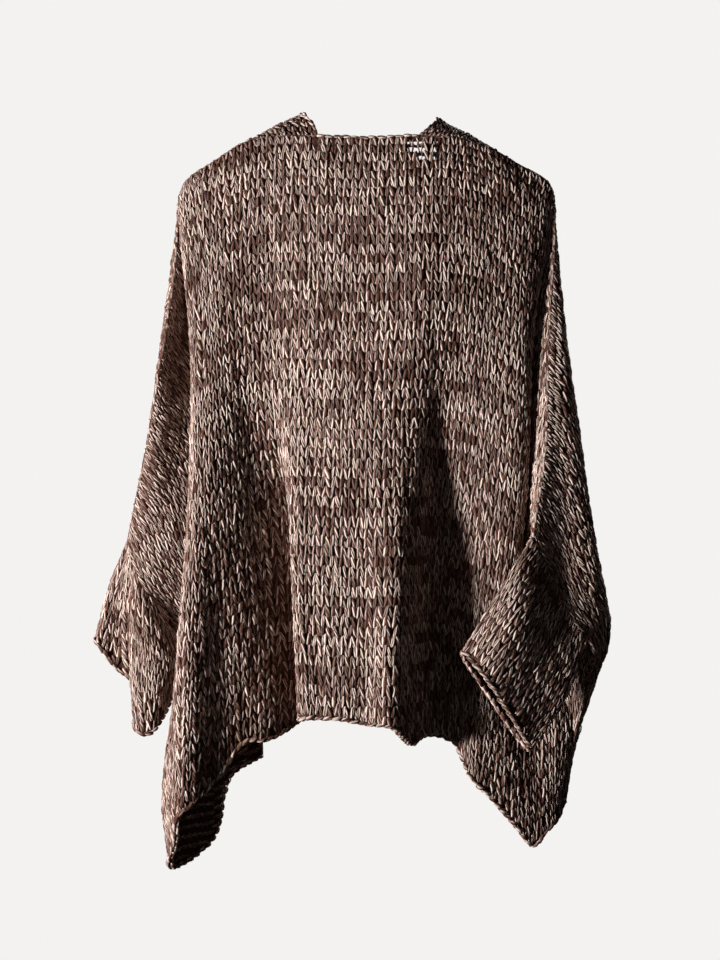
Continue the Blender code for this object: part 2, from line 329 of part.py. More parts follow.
def main():
    for thing in list(bpy.data.objects):
        bpy.data.objects.remove(thing)

    shares = np.array(PANEL_ROWS)
    armhole = int(np.searchsorted(shares, UNDERARM - 1e-6))  # the row where the underarm lies
    left_columns = between([cut for _, cut, _ in FRONT_LEFT], 1)
    right_columns = between([cut for _, cut, _ in FRONT_RIGHT], 1)
    neck_columns = np.linspace(-NECK_HALF, NECK_HALF, 9)
    # The back's columns are the fronts' own where they share a seam.
    columns = np.concatenate([-right_columns[::-1], neck_columns[1:-1], left_columns])

    back = back_panel(columns, shares)
    left = front_panel(FRONT_LEFT, SEAM_LEFT, left_columns, shares)
    right = front_panel(FRONT_RIGHT, SEAM_RIGHT, right_columns, shares)
    around = np.concatenate([shares[: armhole + 1], 2 * UNDERARM - shares[1:armhole][::-1]])
    for front, panel_edge in ((left, -1), (right, 0)):  # one side seam below the underarm
        seam = (back[armhole:, panel_edge] + front[armhole:, -1]) / 2
        back[armhole:, panel_edge] = front[armhole:, -1] = seam
    tube_left = sleeve_tube(SLEEVE_LEFT, BACK_LEFT, FRONT_LEFT, SEAM_LEFT, SLEEVE_ROWS, around)
    tube_right = sleeve_tube(SLEEVE_RIGHT, BACK_RIGHT, FRONT_RIGHT, SEAM_RIGHT, SLEEVE_ROWS, around)

    back_n = normals(back)
    left_n = -normals(left)
    right_n = normals(right)
    tube_left_n = -normals(tube_left, wrap=True)
    tube_right_n = normals(tube_right, wrap=True)

    shoulder_left = (0, slice(len(columns) - len(left_columns), None))
    shoulder_right = (0, slice(len(right_columns) - 1, None, -1))
    share_normals((back_n, shoulder_left), (left_n, (0, slice(None))))
    share_normals((back_n, shoulder_right), (right_n, (0, slice(None))))
    below = slice(armhole, None)
    for grid, edge_n, panel_edge, tube_n in ((back_n, left_n, -1, tube_left_n), (back_n, right_n, 0, tube_right_n)):
        share_normals((grid, (below, panel_edge)), (edge_n, (below, -1)))
        top = slice(0, armhole + 1)
        share_normals((grid, (top, panel_edge)), (tube_n, (0, top)))
        front_half = np.concatenate([[0], np.arange(len(around) - 1, armhole - 1, -1)])
        share_normals((edge_n, (top, -1)), (tube_n, (0, front_half)))
        corners = ((grid, (0, panel_edge)), (edge_n, (0, -1)), (tube_n, (0, 0)))
        share_normals(*corners)
        share_normals((grid, (armhole, panel_edge)), (edge_n, (armhole, -1)), (tube_n, (0, armhole)))

    gap = SEAM_GAP / 2 + 0.00005
    everywhere = slice(None)
    draw_back(back, back_n, shoulder_left, (1, shoulder_left[1]), gap)
    draw_back(back, back_n, shoulder_right, (1, shoulder_right[1]), gap)
    draw_back(left, left_n, (0, everywhere), (1, everywhere), gap)
    draw_back(right, right_n, (0, everywhere), (1, everywhere), gap)
    side_gap = np.where(np.arange(len(shares)) == armhole, 4 * gap, gap)
    draw_back(back, back_n, (everywhere, -1), (everywhere, -2), side_gap)
    draw_back(back, back_n, (everywhere, 0), (everywhere, 1), side_gap)
    draw_back(left, left_n, (everywhere, -1), (everywhere, -2), side_gap)
    draw_back(right, right_n, (everywhere, -1), (everywhere, -2), side_gap)
    ring_gap = np.where(np.arange(len(around)) == armhole, 4 * gap, gap)
    for tube, tube_n in ((tube_left, tube_left_n), (tube_right, tube_right_n)):
        draw_back(tube, tube_n, (0, everywhere), (1, everywhere), ring_gap)

    shell("back", back, back_n)
    shell("front_left", left, left_n)
    shell("front_right", right, right_n)
    shell("sleeve_left", tube_left, tube_left_n, wrap=True)
    shell("sleeve_right", tube_right, tube_right_n, wrap=True)


main()
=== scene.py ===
"""Looks of the open-front chunky knit cardigan: every piece is knitted stitch by stitch on its own cut.

Each piece is a thin cloth (what lies between and behind the stitches), coloured dark as painted shade in the
gaps, with the legs of its stocking stitch on the right side, the bumps of the purl side inside, and cast-off
chains along its edges. Places come from the same tables and curves as the model's solids, in metres once
multiplied by CM.
"""

import math

import bpy
import numpy as np
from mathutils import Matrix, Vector


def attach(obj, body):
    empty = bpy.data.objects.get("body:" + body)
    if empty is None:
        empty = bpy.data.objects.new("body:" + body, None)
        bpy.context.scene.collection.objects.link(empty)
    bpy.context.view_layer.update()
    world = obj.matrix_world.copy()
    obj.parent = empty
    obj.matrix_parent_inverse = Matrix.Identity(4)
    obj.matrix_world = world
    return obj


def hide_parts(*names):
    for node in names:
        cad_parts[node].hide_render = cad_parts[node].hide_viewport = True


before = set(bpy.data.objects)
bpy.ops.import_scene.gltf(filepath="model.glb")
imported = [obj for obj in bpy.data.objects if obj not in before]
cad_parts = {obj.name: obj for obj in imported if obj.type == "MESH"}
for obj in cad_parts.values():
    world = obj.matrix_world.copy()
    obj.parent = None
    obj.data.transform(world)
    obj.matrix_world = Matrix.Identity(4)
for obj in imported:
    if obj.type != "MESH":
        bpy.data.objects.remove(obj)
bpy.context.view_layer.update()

CM = 0.01
NECK_HALF = 5.4  # cm of cut from the centre back to the neck corner
SIDE_EDGE = 61.0  # cm of cut from the centre back to the side edge
UNDERARM = 0.28  # share of the side edge where the sleeve's seam ends and the side seam starts
STITCH = 0.0093  # m across one column of stitches
ROW = 0.0104  # m down one row
STEP = ROW / 8  # how finely the cloth is known along a column

# The shoulder seam from the neck corner to the shoulder tip, and on down the arm: cut, x, y, z
SEAM_LEFT = (
    (0.0, 0.0, 5.3, -1.0),
    (5.4, 5.4, 5.0, -0.8),
    (9.0, 9.0, 4.7, -0.7),
    (12.8, 12.7, 4.4, -1.2),
    (17.5, 16.7, 4.2, -3.5),
    (22.0, 19.9, 3.8, -5.9),
    (25.5, 20.4, 3.9, -9.2),
    (34.0, 21.2, 4.4, -17.4),
    (42.0, 22.5, 4.2, -25.4),
    (51.0, 24.1, 2.2, -34.3),
    (61.0, 26.3, -0.3, -44.2),
)
SEAM_RIGHT = (
    (0.0, 0.0, 5.3, -1.0),
    (5.4, -5.4, 5.0, -0.8),
    (9.0, -9.0, 4.7, -0.8),
    (12.8, -12.2, 4.0, -1.5),
    (17.5, -16.2, 3.9, -3.7),
    (21.5, -19.5, 3.8, -5.8),
    (25.5, -20.0, 4.4, -9.7),
    (34.0, -19.6, 5.7, -18.0),
    (42.0, -19.2, 6.9, -25.8),
    (51.0, -18.8, 8.3, -34.4),
    (61.0, -17.3, 10.3, -43.8),
)

# Back, left half: wale, cut, then (share, x, y, z) below the seam
BACK_LEFT = (
    ("centre", 0.0, ((0.10, 0.2, 7.6, -6.6), (0.28, 0.3, 9.2, -17.9), (0.52, 0.5, 10.5, -33.1), (0.76, 0.5, 12.2, -48.2), (1.0, 0.4, 13.4, -63.1))),
    ("crest", 3.2, ((0.10, 3.2, 7.5, -6.6), (0.28, 3.3, 9.2, -17.9), (0.52, 3.4, 10.5, -33.0), (0.76, 3.5, 12.4, -48.1), (1.0, 3.2, 13.7, -62.6))),
    ("neck_corner", 5.4, ((0.10, 5.4, 7.4, -6.4), (0.28, 5.4, 9.1, -17.7), (0.52, 5.6, 10.3, -32.9), (0.76, 5.8, 12.4, -47.9), (1.0, 5.4, 13.6, -62.5))),
    ("crest_edge", 8.0, ((0.10, 8.0, 7.2, -6.4), (0.28, 8.0, 8.9, -17.7), (0.52, 8.0, 10.1, -32.9), (0.64, 7.9, 11.1, -40.4), (0.76, 7.7, 12.2, -47.9), (1.0, 7.0, 13.3, -62.6))),
    ("valley", 11.0, ((0.10, 10.9, 6.9, -6.5), (0.28, 10.8, 8.5, -17.9), (0.52, 9.7, 8.9, -33.2), (0.64, 8.5, 7.2, -40.9), (0.76, 7.9, 6.4, -48.6), (1.0, 7.3, 6.2, -63.5))),
    ("valley_far_side", 13.6, ((0.04, 13.4, 5.8, -3.8), (0.10, 13.5, 7.0, -7.2), (0.28, 13.2, 8.8, -18.6), (0.52, 12.3, 9.4, -34.1), (0.76, 10.9, 8.3, -49.6), (1.0, 10.5, 8.7, -65.2))),
    ("second_crest", 16.5, ((0.04, 16.2, 5.9, -5.2), (0.10, 16.2, 7.1, -8.4), (0.28, 15.7, 9.1, -19.6), (0.52, 14.6, 10.9, -35.1), (0.76, 13.6, 10.2, -50.4), (1.0, 13.2, 9.7, -65.4))),
    ("shallow_valley", 19.5, ((0.04, 18.6, 6.0, -6.5), (0.10, 18.3, 7.2, -10.0), (0.28, 17.4, 9.4, -21.5), (0.52, 16.7, 12.0, -37.0), (0.76, 16.2, 11.3, -52.4), (1.0, 15.9, 10.8, -69.0))),
    ("rim", 22.0, ((0.04, 20.1, 5.6, -7.8), (0.10, 19.8, 6.9, -11.4), (0.28, 18.5, 9.4, -23.0), (0.52, 18.2, 12.1, -38.6), (0.76, 18.4, 12.8, -54.0), (1.0, 18.6, 12.9, -71.6))),
    ("fold_edge", 25.0, ((0.10, 19.4, 5.0, -14.0), (0.28, 18.6, 7.2, -25.4), (0.52, 18.8, 10.0, -40.8), (0.76, 19.8, 12.2, -56.2), (0.9, 20.0, 12.8, -65.8), (1.0, 19.9, 13.1, -72.9))),
    ("pocket_near", 28.5, ((0.10, 18.7, 2.4, -16.8), (0.28, 17.6, 3.4, -28.0), (0.52, 17.9, 5.6, -43.4), (0.76, 19.8, 9.4, -58.8), (0.92, 21.3, 10.6, -70.6), (1.0, 20.3, 11.8, -76.0))),
    ("pocket_side", 31.0, ((0.10, 18.9, 1.8, -19.1), (0.28, 17.0, 2.0, -30.0), (0.52, 17.1, 3.8, -45.4), (0.76, 19.2, 7.4, -60.8), (0.92, 21.6, 8.9, -72.2), (1.0, 20.9, 10.1, -77.6))),
    ("hem_tip", 34.0, ((0.045, 20.7, 2.6, -19.4), (0.10, 19.4, 1.4, -21.8), (0.28, 16.4, 0.9, -32.4), (0.52, 16.2, 2.4, -47.6), (0.76, 18.2, 5.8, -62.8), (0.92, 20.8, 7.4, -73.6), (1.0, 20.9, 8.6, -78.8))),
    ("pocket_far", 42.0, ((0.045, 21.8, 2.9, -27.1), (0.10, 20.4, 1.5, -29.2), (0.28, 17.0, -0.4, -38.8), (0.52, 15.4, 0.6, -51.8), (0.76, 16.0, 3.0, -64.4), (1.0, 16.8, 4.2, -76.4))),
    ("under_the_arm", 51.0, ((0.045, 23.1, 2.2, -35.8), (0.10, 21.8, 1.2, -37.6), (0.28, 18.8, 0.2, -45.6), (0.52, 16.6, 0.2, -55.4), (0.76, 15.4, 1.4, -63.8), (1.0, 15.5, 1.8, -70.6))),
    ("side_edge", 61.0, ((0.09, 25.7, 1.0, -46.6), (0.19, 24.2, 1.6, -50.0), (0.28, 22.0, 0.2, -52.8), (0.52, 18.0, -0.6, -58.2), (0.76, 14.4, -1.2, -63.0), (0.92, 11.9, -1.6, -66.3), (1.0, 11.8, -1.8, -68.2))),
)
BACK_RIGHT = (
    ("crest_edge", 3.6, ((0.10, -3.6, 7.5, -6.6), (0.28, -3.6, 9.2, -17.8), (0.52, -3.2, 10.2, -33.0), (0.76, -3.2, 12.2, -48.2), (1.0, -2.9, 13.2, -63.8))),
    ("neck_corner", 5.4, ((0.10, -5.4, 7.4, -6.4), (0.28, -5.4, 9.2, -17.8), (0.52, -4.9, 9.6, -33.0), (0.76, -4.4, 10.6, -48.4), (1.0, -4.2, 10.0, -65.5))),
    ("valley", 8.5, ((0.10, -8.4, 7.0, -6.4), (0.28, -8.3, 8.6, -17.7), (0.52, -7.4, 7.8, -33.0), (0.76, -6.2, 6.5, -48.4), (1.0, -6.1, 6.0, -65.1))),
    ("valley_far_side", 12.0, ((0.10, -11.5, 6.6, -6.8), (0.28, -11.3, 8.1, -18.1), (0.52, -10.5, 7.6, -33.5), (0.76, -9.2, 6.5, -48.9), (1.0, -9.2, 6.0, -65.8))),
    ("second_crest", 15.5, ((0.04, -14.5, 5.5, -5.2), (0.10, -14.4, 6.3, -8.2), (0.28, -14.0, 7.5, -19.4), (0.52, -13.4, 7.6, -34.8), (0.76, -12.2, 7.0, -50.5), (1.0, -10.9, 7.0, -69.4))),
    ("fold_edge", 18.8, ((0.04, -17.2, 5.2, -7.0), (0.10, -17.1, 5.8, -10.2), (0.28, -16.6, 7.0, -21.4), (0.52, -16.0, 7.4, -36.8), (0.64, -15.3, 7.2, -44.6), (0.76, -14.4, 6.7, -52.8), (1.0, -13.4, 6.1, -72.1))),
    ("fold_return", 21.5, ((0.04, -18.9, 4.8, -8.4), (0.10, -18.7, 5.2, -11.6), (0.28, -17.4, 6.1, -22.8), (0.52, -16.8, 6.5, -38.2), (0.64, -16.1, 6.1, -46.2), (0.76, -15.8, 5.6, -54.8), (1.0, -16.0, 5.1, -75.2))),
    ("pocket", 25.0, ((0.10, -18.7, 4.2, -15.0), (0.28, -16.8, 4.2, -25.8), (0.52, -16.1, 4.8, -41.0), (0.64, -16.0, 4.4, -49.0), (0.76, -16.9, 4.6, -57.4), (1.0, -17.5, 4.5, -77.1))),
    ("hem_tip", 31.0, ((0.10, -18.5, 4.9, -20.6), (0.28, -16.8, 3.4, -31.2), (0.52, -16.6, 3.8, -46.0), (0.76, -18.6, 4.2, -61.0), (1.0, -19.1, 3.8, -75.8))),
    ("arm_back", 38.0, ((0.10, -18.5, 6.4, -26.6), (0.28, -17.2, 4.0, -36.5), (0.52, -17.2, 3.4, -49.5), (0.76, -20.0, 4.0, -62.4), (1.0, -20.1, 3.2, -74.9))),
    ("arm_lower", 45.0, ((0.10, -18.3, 7.0, -32.6), (0.28, -17.1, 4.0, -41.8), (0.52, -18.4, 3.2, -53.4), (0.76, -21.2, 3.5, -63.6), (1.0, -20.6, 2.7, -74.2))),
    ("arm_end", 53.0, ((0.10, -17.9, 7.8, -39.6), (0.28, -17.6, 4.6, -46.4), (0.52, -20.8, 3.4, -56.6), (0.76, -21.9, 3.1, -65.0), (1.0, -20.9, 2.3, -73.4))),
    ("side_edge", 61.0, ((0.09, -17.6, 8.2, -45.8), (0.19, -19.7, 7.4, -50.0), (0.28, -23.3, 8.4, -54.8), (0.52, -23.5, 4.2, -60.4), (0.76, -22.2, 2.8, -66.4), (1.0, -21.3, 2.0, -72.8))),
)

# Fronts: the free edge first, then out to the side edge
FRONT_LEFT = (
    ("front_edge", 5.4, ((0.035, 5.9, 3.2, 0.8), (0.09, 7.4, 0.4, 2.2), (0.17, 7.7, -4.6, -0.8), (0.28, 7.6, -8.4, -7.8), (0.52, 7.4, -11.6, -24.4), (0.76, 7.2, -13.2, -41.6), (1.0, 6.9, -14.2, -59.0))),
    ("front_fold", 9.0, ((0.035, 9.4, 3.0, 0.4), (0.09, 10.1, 0.2, 0.9), (0.17, 10.8, -4.6, -1.6), (0.28, 10.8, -8.8, -8.8), (0.52, 10.6, -12.6, -25.4), (0.76, 10.2, -14.4, -42.4), (1.0, 9.8, -15.4, -59.6))),
    ("front_hollow", 13.0, ((0.035, 13.1, 2.4, -1.1), (0.09, 13.6, -0.2, -1.6), (0.17, 14.3, -4.6, -4.0), (0.28, 14.3, -8.4, -11.4), (0.52, 13.7, -11.8, -27.6), (0.76, 12.8, -12.2, -44.6), (1.0, 12.4, -12.2, -61.8))),
    ("front_crest", 17.5, ((0.035, 17.1, 1.0, -4.0), (0.09, 17.4, -1.6, -5.4), (0.17, 17.9, -4.8, -8.4), (0.28, 17.6, -8.2, -15.6), (0.52, 16.8, -12.0, -31.4), (0.76, 16.0, -13.8, -47.8), (1.0, 15.8, -15.0, -64.4))),
    ("front_rim", 22.0, ((0.035, 20.2, 2.0, -7.0), (0.09, 20.2, -0.8, -9.4), (0.17, 20.2, -4.4, -13.4), (0.28, 19.5, -7.8, -20.4), (0.52, 18.9, -11.0, -36.0), (0.76, 19.0, -12.2, -52.2), (1.0, 19.6, -13.0, -69.0))),
    ("front_pocket", 26.5, ((0.035, 20.8, 2.2, -11.6), (0.09, 20.5, -0.6, -14.0), (0.17, 19.9, -4.2, -18.0), (0.28, 18.9, -7.0, -24.8), (0.52, 18.6, -9.2, -40.4), (0.76, 19.6, -10.2, -56.4), (1.0, 20.8, -10.6, -73.2))),
    ("front_arm", 34.0, ((0.035, 21.8, 2.2, -18.6), (0.09, 21.1, -0.8, -21.0), (0.17, 19.4, -4.2, -25.2), (0.28, 17.6, -6.0, -31.8), (0.52, 17.2, -6.6, -46.8), (0.76, 18.2, -7.4, -61.6), (1.0, 19.4, -7.4, -76.0))),
    ("front_arm_lower", 42.0, ((0.035, 22.9, 1.6, -26.6), (0.09, 22.0, -1.4, -28.8), (0.17, 19.8, -4.4, -32.6), (0.28, 17.7, -5.4, -38.6), (0.52, 16.2, -5.4, -51.2), (0.76, 16.6, -5.4, -63.6), (1.0, 17.2, -5.2, -75.4))),
    ("front_arm_end", 51.0, ((0.035, 24.1, -0.6, -35.6), (0.09, 23.2, -3.0, -37.6), (0.17, 21.3, -4.6, -40.8), (0.28, 19.2, -4.6, -45.2), (0.52, 16.9, -3.8, -54.8), (0.76, 15.6, -3.8, -64.2), (1.0, 15.0, -3.8, -70.2))),
    ("side_edge", 61.0, ((0.09, 26.4, -5.0, -46.4), (0.19, 24.8, -5.2, -50.4), (0.28, 22.0, 0.2, -52.8), (0.52, 18.0, -0.6, -58.2), (0.76, 14.4, -1.2, -63.0), (0.92, 11.9, -1.6, -66.3), (1.0, 11.8, -1.8, -68.2))),
)
FRONT_RIGHT = (
    ("front_edge", 5.4, ((0.035, -6.4, 3.2, 0.3), (0.09, -7.8, 0.4, 1.7), (0.17, -8.0, -4.6, -1.2), (0.28, -7.8, -8.4, -8.2), (0.52, -7.4, -11.6, -24.8), (0.76, -7.0, -13.2, -42.0), (1.0, -6.6, -14.0, -59.4))),
    ("front_fold", 9.0, ((0.035, -9.6, 3.0, 0.1), (0.09, -10.3, 0.2, 0.1), (0.17, -10.9, -4.6, -2.0), (0.28, -10.8, -8.6, -9.2), (0.52, -10.2, -12.2, -25.8), (0.76, -9.6, -13.8, -42.8), (1.0, -9.2, -14.6, -60.0))),
    ("front_hollow", 13.0, ((0.035, -12.8, 2.4, -1.5), (0.09, -13.4, -0.2, -2.1), (0.17, -14.2, -4.6, -4.4), (0.28, -14.2, -8.6, -11.8), (0.52, -13.4, -12.4, -28.0), (0.76, -12.4, -13.4, -45.0), (1.0, -12.0, -13.8, -62.2))),
    ("front_crest", 17.5, ((0.035, -16.6, 1.2, -4.3), (0.09, -17.1, -1.4, -5.7), (0.17, -17.8, -4.8, -8.8), (0.28, -17.6, -8.2, -16.0), (0.52, -16.8, -11.4, -31.8), (0.76, -16.2, -12.4, -48.2), (1.0, -15.8, -12.8, -64.8))),
    ("front_rim", 22.0, ((0.035, -19.8, 0.2, -7.6), (0.09, -20.2, -2.4, -10.0), (0.17, -20.2, -5.4, -14.2), (0.28, -20.0, -8.4, -21.0), (0.52, -19.2, -11.4, -36.4), (0.76, -19.2, -12.8, -52.4), (1.0, -19.4, -13.8, -68.6))),
    ("front_pocket", 26.5, ((0.035, -20.2, 3.4, -11.8), (0.09, -20.4, 1.6, -14.4), (0.17, -20.6, -2.0, -18.8), (0.28, -20.4, -7.2, -25.6), (0.52, -20.0, -10.2, -41.0), (0.76, -20.6, -11.0, -56.8), (1.0, -21.0, -11.4, -72.4))),
    ("front_arm", 34.0, ((0.035, -20.5, 5.5, -19.4), (0.09, -21.1, 4.9, -22.0), (0.17, -21.6, 3.4, -26.4), (0.28, -22.0, -0.8, -32.8), (0.52, -21.4, -7.8, -47.0), (0.76, -21.0, -8.4, -61.4), (1.0, -20.8, -8.4, -74.6))),
    ("front_arm_lower", 42.0, ((0.035, -20.5, 6.8, -27.2), (0.09, -21.6, 6.5, -29.6), (0.17, -22.6, 5.8, -33.6), (0.28, -23.3, 4.2, -39.6), (0.40, -23.6, 1.0, -46.2), (0.52, -23.2, -3.2, -52.0), (0.76, -21.8, -5.8, -63.6), (1.0, -21.2, -5.6, -74.2))),
    ("front_arm_end", 51.0, ((0.035, -20.1, 7.8, -35.8), (0.09, -21.5, 7.6, -38.2), (0.17, -22.9, 7.4, -41.8), (0.28, -24.3, 7.4, -47.0), (0.40, -25.7, 5.9, -53.4), (0.52, -24.6, 2.8, -58.2), (0.76, -22.6, 0.2, -65.8), (1.0, -21.5, -2.0, -73.4))),
    ("side_edge", 61.0, ((0.035, -17.9, 10.0, -45.2), (0.09, -19.4, 8.9, -47.7), (0.19, -21.5, 9.2, -52.4), (0.28, -23.3, 8.4, -54.8), (0.52, -23.5, 4.2, -60.4), (0.76, -22.2, 2.8, -66.4), (1.0, -21.3, 2.0, -72.8))),
)

# Sleeve tubes, going round from the top of the arm over the back side and the underside and home by the
# front side: the share of the panel's side edge where each line leaves it ("back" or "front" half), then
# where it is halfway down and at the cuff's edge: x, y, z
SLEEVE_LEFT = (
    ("arm_top", "back", 0.0, (28.4, -1.2, -50.0), (29.8, -0.9, -55.6)),
    ("outer_face", "back", 0.035, (27.5, -1.4, -51.8), (27.9, -1.7, -58.3)),
    ("fold_hollow", "back", 0.07, (25.4, -0.9, -53.6), (24.6, -1.6, -61.2)),
    ("fold_ridge", "back", 0.105, (25.8, 1.9, -55.2), (25.2, 4.0, -63.6)),
    ("lobe", "back", 0.17, (23.8, 4.0, -57.4), (23.6, 5.4, -64.9)),
    ("lobe_side", "back", 0.23, (21.4, 2.8, -57.4), (22.2, 3.4, -63.0)),
    ("underside", "back", UNDERARM, (20.6, 0.0, -56.4), (21.2, 0.2, -60.2)),
    ("front_low", "front", 0.22, (22.8, -5.0, -54.8), (22.4, -5.4, -59.0)),
    ("front_side", "front", 0.14, (26.0, -7.2, -52.4), (26.2, -8.4, -57.0)),
    ("front_top", "front", 0.06, (28.2, -5.8, -50.2), (29.3, -7.4, -55.6)),
)
SLEEVE_RIGHT = (
    ("arm_top", "back", 0.0, (-13.8, 12.1, -49.6), (-9.9, 13.0, -55.6)),
    ("far_upper", "back", 0.06, (-14.0, 10.6, -50.6), (-10.5, 11.6, -57.0)),
    ("far_side", "back", 0.13, (-16.0, 8.8, -54.2), (-12.8, 10.2, -60.4)),
    ("far_lower", "back", 0.21, (-18.6, 8.2, -58.0), (-15.2, 9.7, -64.0)),
    ("underside", "back", UNDERARM, (-20.6, 9.4, -60.8), (-16.9, 10.8, -66.0)),
    ("near_lower", "front", 0.22, (-19.8, 10.2, -59.0), (-16.6, 11.0, -65.0)),
    ("near_side", "front", 0.15, (-17.9, 11.2, -55.8), (-14.4, 12.7, -61.4)),
    ("near_upper", "front", 0.07, (-15.6, 12.9, -51.8), (-11.8, 13.9, -57.6)),
)

def spline(knots, values, at):
    """A smooth curve through values at the knots, read at the places in at. It turns less between close knots."""
    knots, values, at = np.asarray(knots, float), np.asarray(values, float), np.asarray(at, float)
    step = np.diff(knots)
    slope = np.diff(values, axis=0) / step.reshape(-1, *[1] * (values.ndim - 1))
    tangent = np.empty_like(values)
    tangent[0], tangent[-1] = slope[0], slope[-1]
    before, after = step[:-1], step[1:]
    share = (after / (before + after)).reshape(-1, *[1] * (values.ndim - 1))
    tangent[1:-1] = slope[:-1] * share + slope[1:] * (1 - share)
    i = np.clip(np.searchsorted(knots, at, side="right") - 1, 0, len(step) - 1)
    s = ((at - knots[i]) / step[i]).reshape(-1, *[1] * (values.ndim - 1))
    h = step[i].reshape(s.shape)
    return (
        values[i] * (1 + 2 * s) * (1 - s) ** 2
        + tangent[i] * h * s * (1 - s) ** 2
        + values[i + 1] * s * s * (3 - 2 * s)
        + tangent[i + 1] * h * s * s * (s - 1)
    )


def wales(table, seam, shares):
    """Each wale of a panel at the given shares of its length: (cuts, points[share, wale])."""
    cuts = [cut for _, cut, _ in table]
    knots = [row[0] for row in seam]
    tops = spline(knots, [row[1:] for row in seam], cuts)
    lines = []
    for top, (_, _, places) in zip(tops, table):
        lines.append(spline([0.0] + [p[0] for p in places], [top] + [p[1:] for p in places], shares))
    return np.array(cuts), np.stack(lines, axis=1)


def seam_line(seam, columns):
    return spline([row[0] for row in seam], [row[1:] for row in seam], columns) * CM


def front_panel(table, seam, columns, shares):
    cuts, lines = wales(table, seam, shares)
    points = np.stack([spline(cuts, row, columns) for row in lines]) * CM
    # Fronts and back have one seam line between them.
    fade = np.clip(1 - np.asarray(shares) / 0.09, 0, 1)[:, None, None]
    return points + fade * (seam_line(seam, columns) - spline(cuts, wales(table, seam, [0.0])[1][0], columns) * CM)


def back_panel(columns, shares):
    """The whole back, its columns running from the right side edge (below 0) to the left one."""
    left_cuts, left = wales(BACK_LEFT, SEAM_LEFT, shares)
    right_cuts, right = wales(BACK_RIGHT, SEAM_RIGHT, shares)
    cuts = np.concatenate([-right_cuts[::-1], left_cuts])
    lines = np.concatenate([right[:, ::-1], left], axis=1)
    points = np.stack([spline(cuts, row, columns) for row in lines]) * CM
    tops = np.concatenate([wales(BACK_RIGHT, SEAM_RIGHT, [0.0])[1][0][::-1], wales(BACK_LEFT, SEAM_LEFT, [0.0])[1][0]])
    columns = np.asarray(columns)
    top = np.where(columns[:, None] < 0, seam_line(SEAM_RIGHT, abs(columns)), seam_line(SEAM_LEFT, abs(columns)))
    fade = np.clip(1 - np.asarray(shares) / 0.09, 0, 1)[:, None, None]
    return points + fade * (top - spline(cuts, tops, columns) * CM)


def side_edge(table, seam, shares):
    return wales(table[-1:], seam, shares)[1][:, 0] * CM


def sleeve_tube(table, back_table, front_table, seam, along, around):
    """A tube from the side edges of back and front to the cuff: points[along, around], closed on itself."""
    lines, stations = [], []
    for i, (_, half, share, middle, cuff) in enumerate(table):
        start = side_edge(back_table if half == "back" else front_table, seam, [share])[0] / CM
        lines.append(spline([0.0, 0.5, 1.0], [start, middle, cuff], along))
        stations.append(share if half == "back" else 2 * UNDERARM - share)
    lines = np.stack(lines, axis=1)
    turn = 2 * UNDERARM
    stations = np.array(stations)
    knots = np.concatenate([stations[-2:] - turn, stations, stations[:3] + turn])
    closed = np.concatenate([lines[:, -2:], lines, lines[:, :3]], axis=1)
    points = np.stack([spline(knots, row, around) for row in closed]) * CM
    # The first ring is the side edges themselves.
    around = np.asarray(around)
    on_back = around <= UNDERARM
    ring = np.where(
        on_back[:, None],
        side_edge(back_table, seam, np.where(on_back, around, UNDERARM)),
        side_edge(front_table, seam, np.where(on_back, UNDERARM, turn - around)),
    )
    # What the ring is moved by fades out down the tube.
    fade = np.clip(1 - np.asarray(along) / 0.6, 0, 1) ** 2
    return points + fade[:, None, None] * (ring - points[0])[None]


def across(points, wrap):
    """The direction along each row, at every point."""
    if wrap:
        return np.roll(points, -1, axis=1) - np.roll(points, 1, axis=1)
    return np.gradient(points, axis=1)


def normals(points, wrap=False):
    n = np.cross(across(points, wrap), np.gradient(points, axis=0))
    return n / np.linalg.norm(n, axis=2, keepdims=True)


def unit(v):
    return v / np.maximum(np.linalg.norm(v, axis=-1, keepdims=True), 1e-12)




# ---------------------------------------------------------------------------------------------- cloth

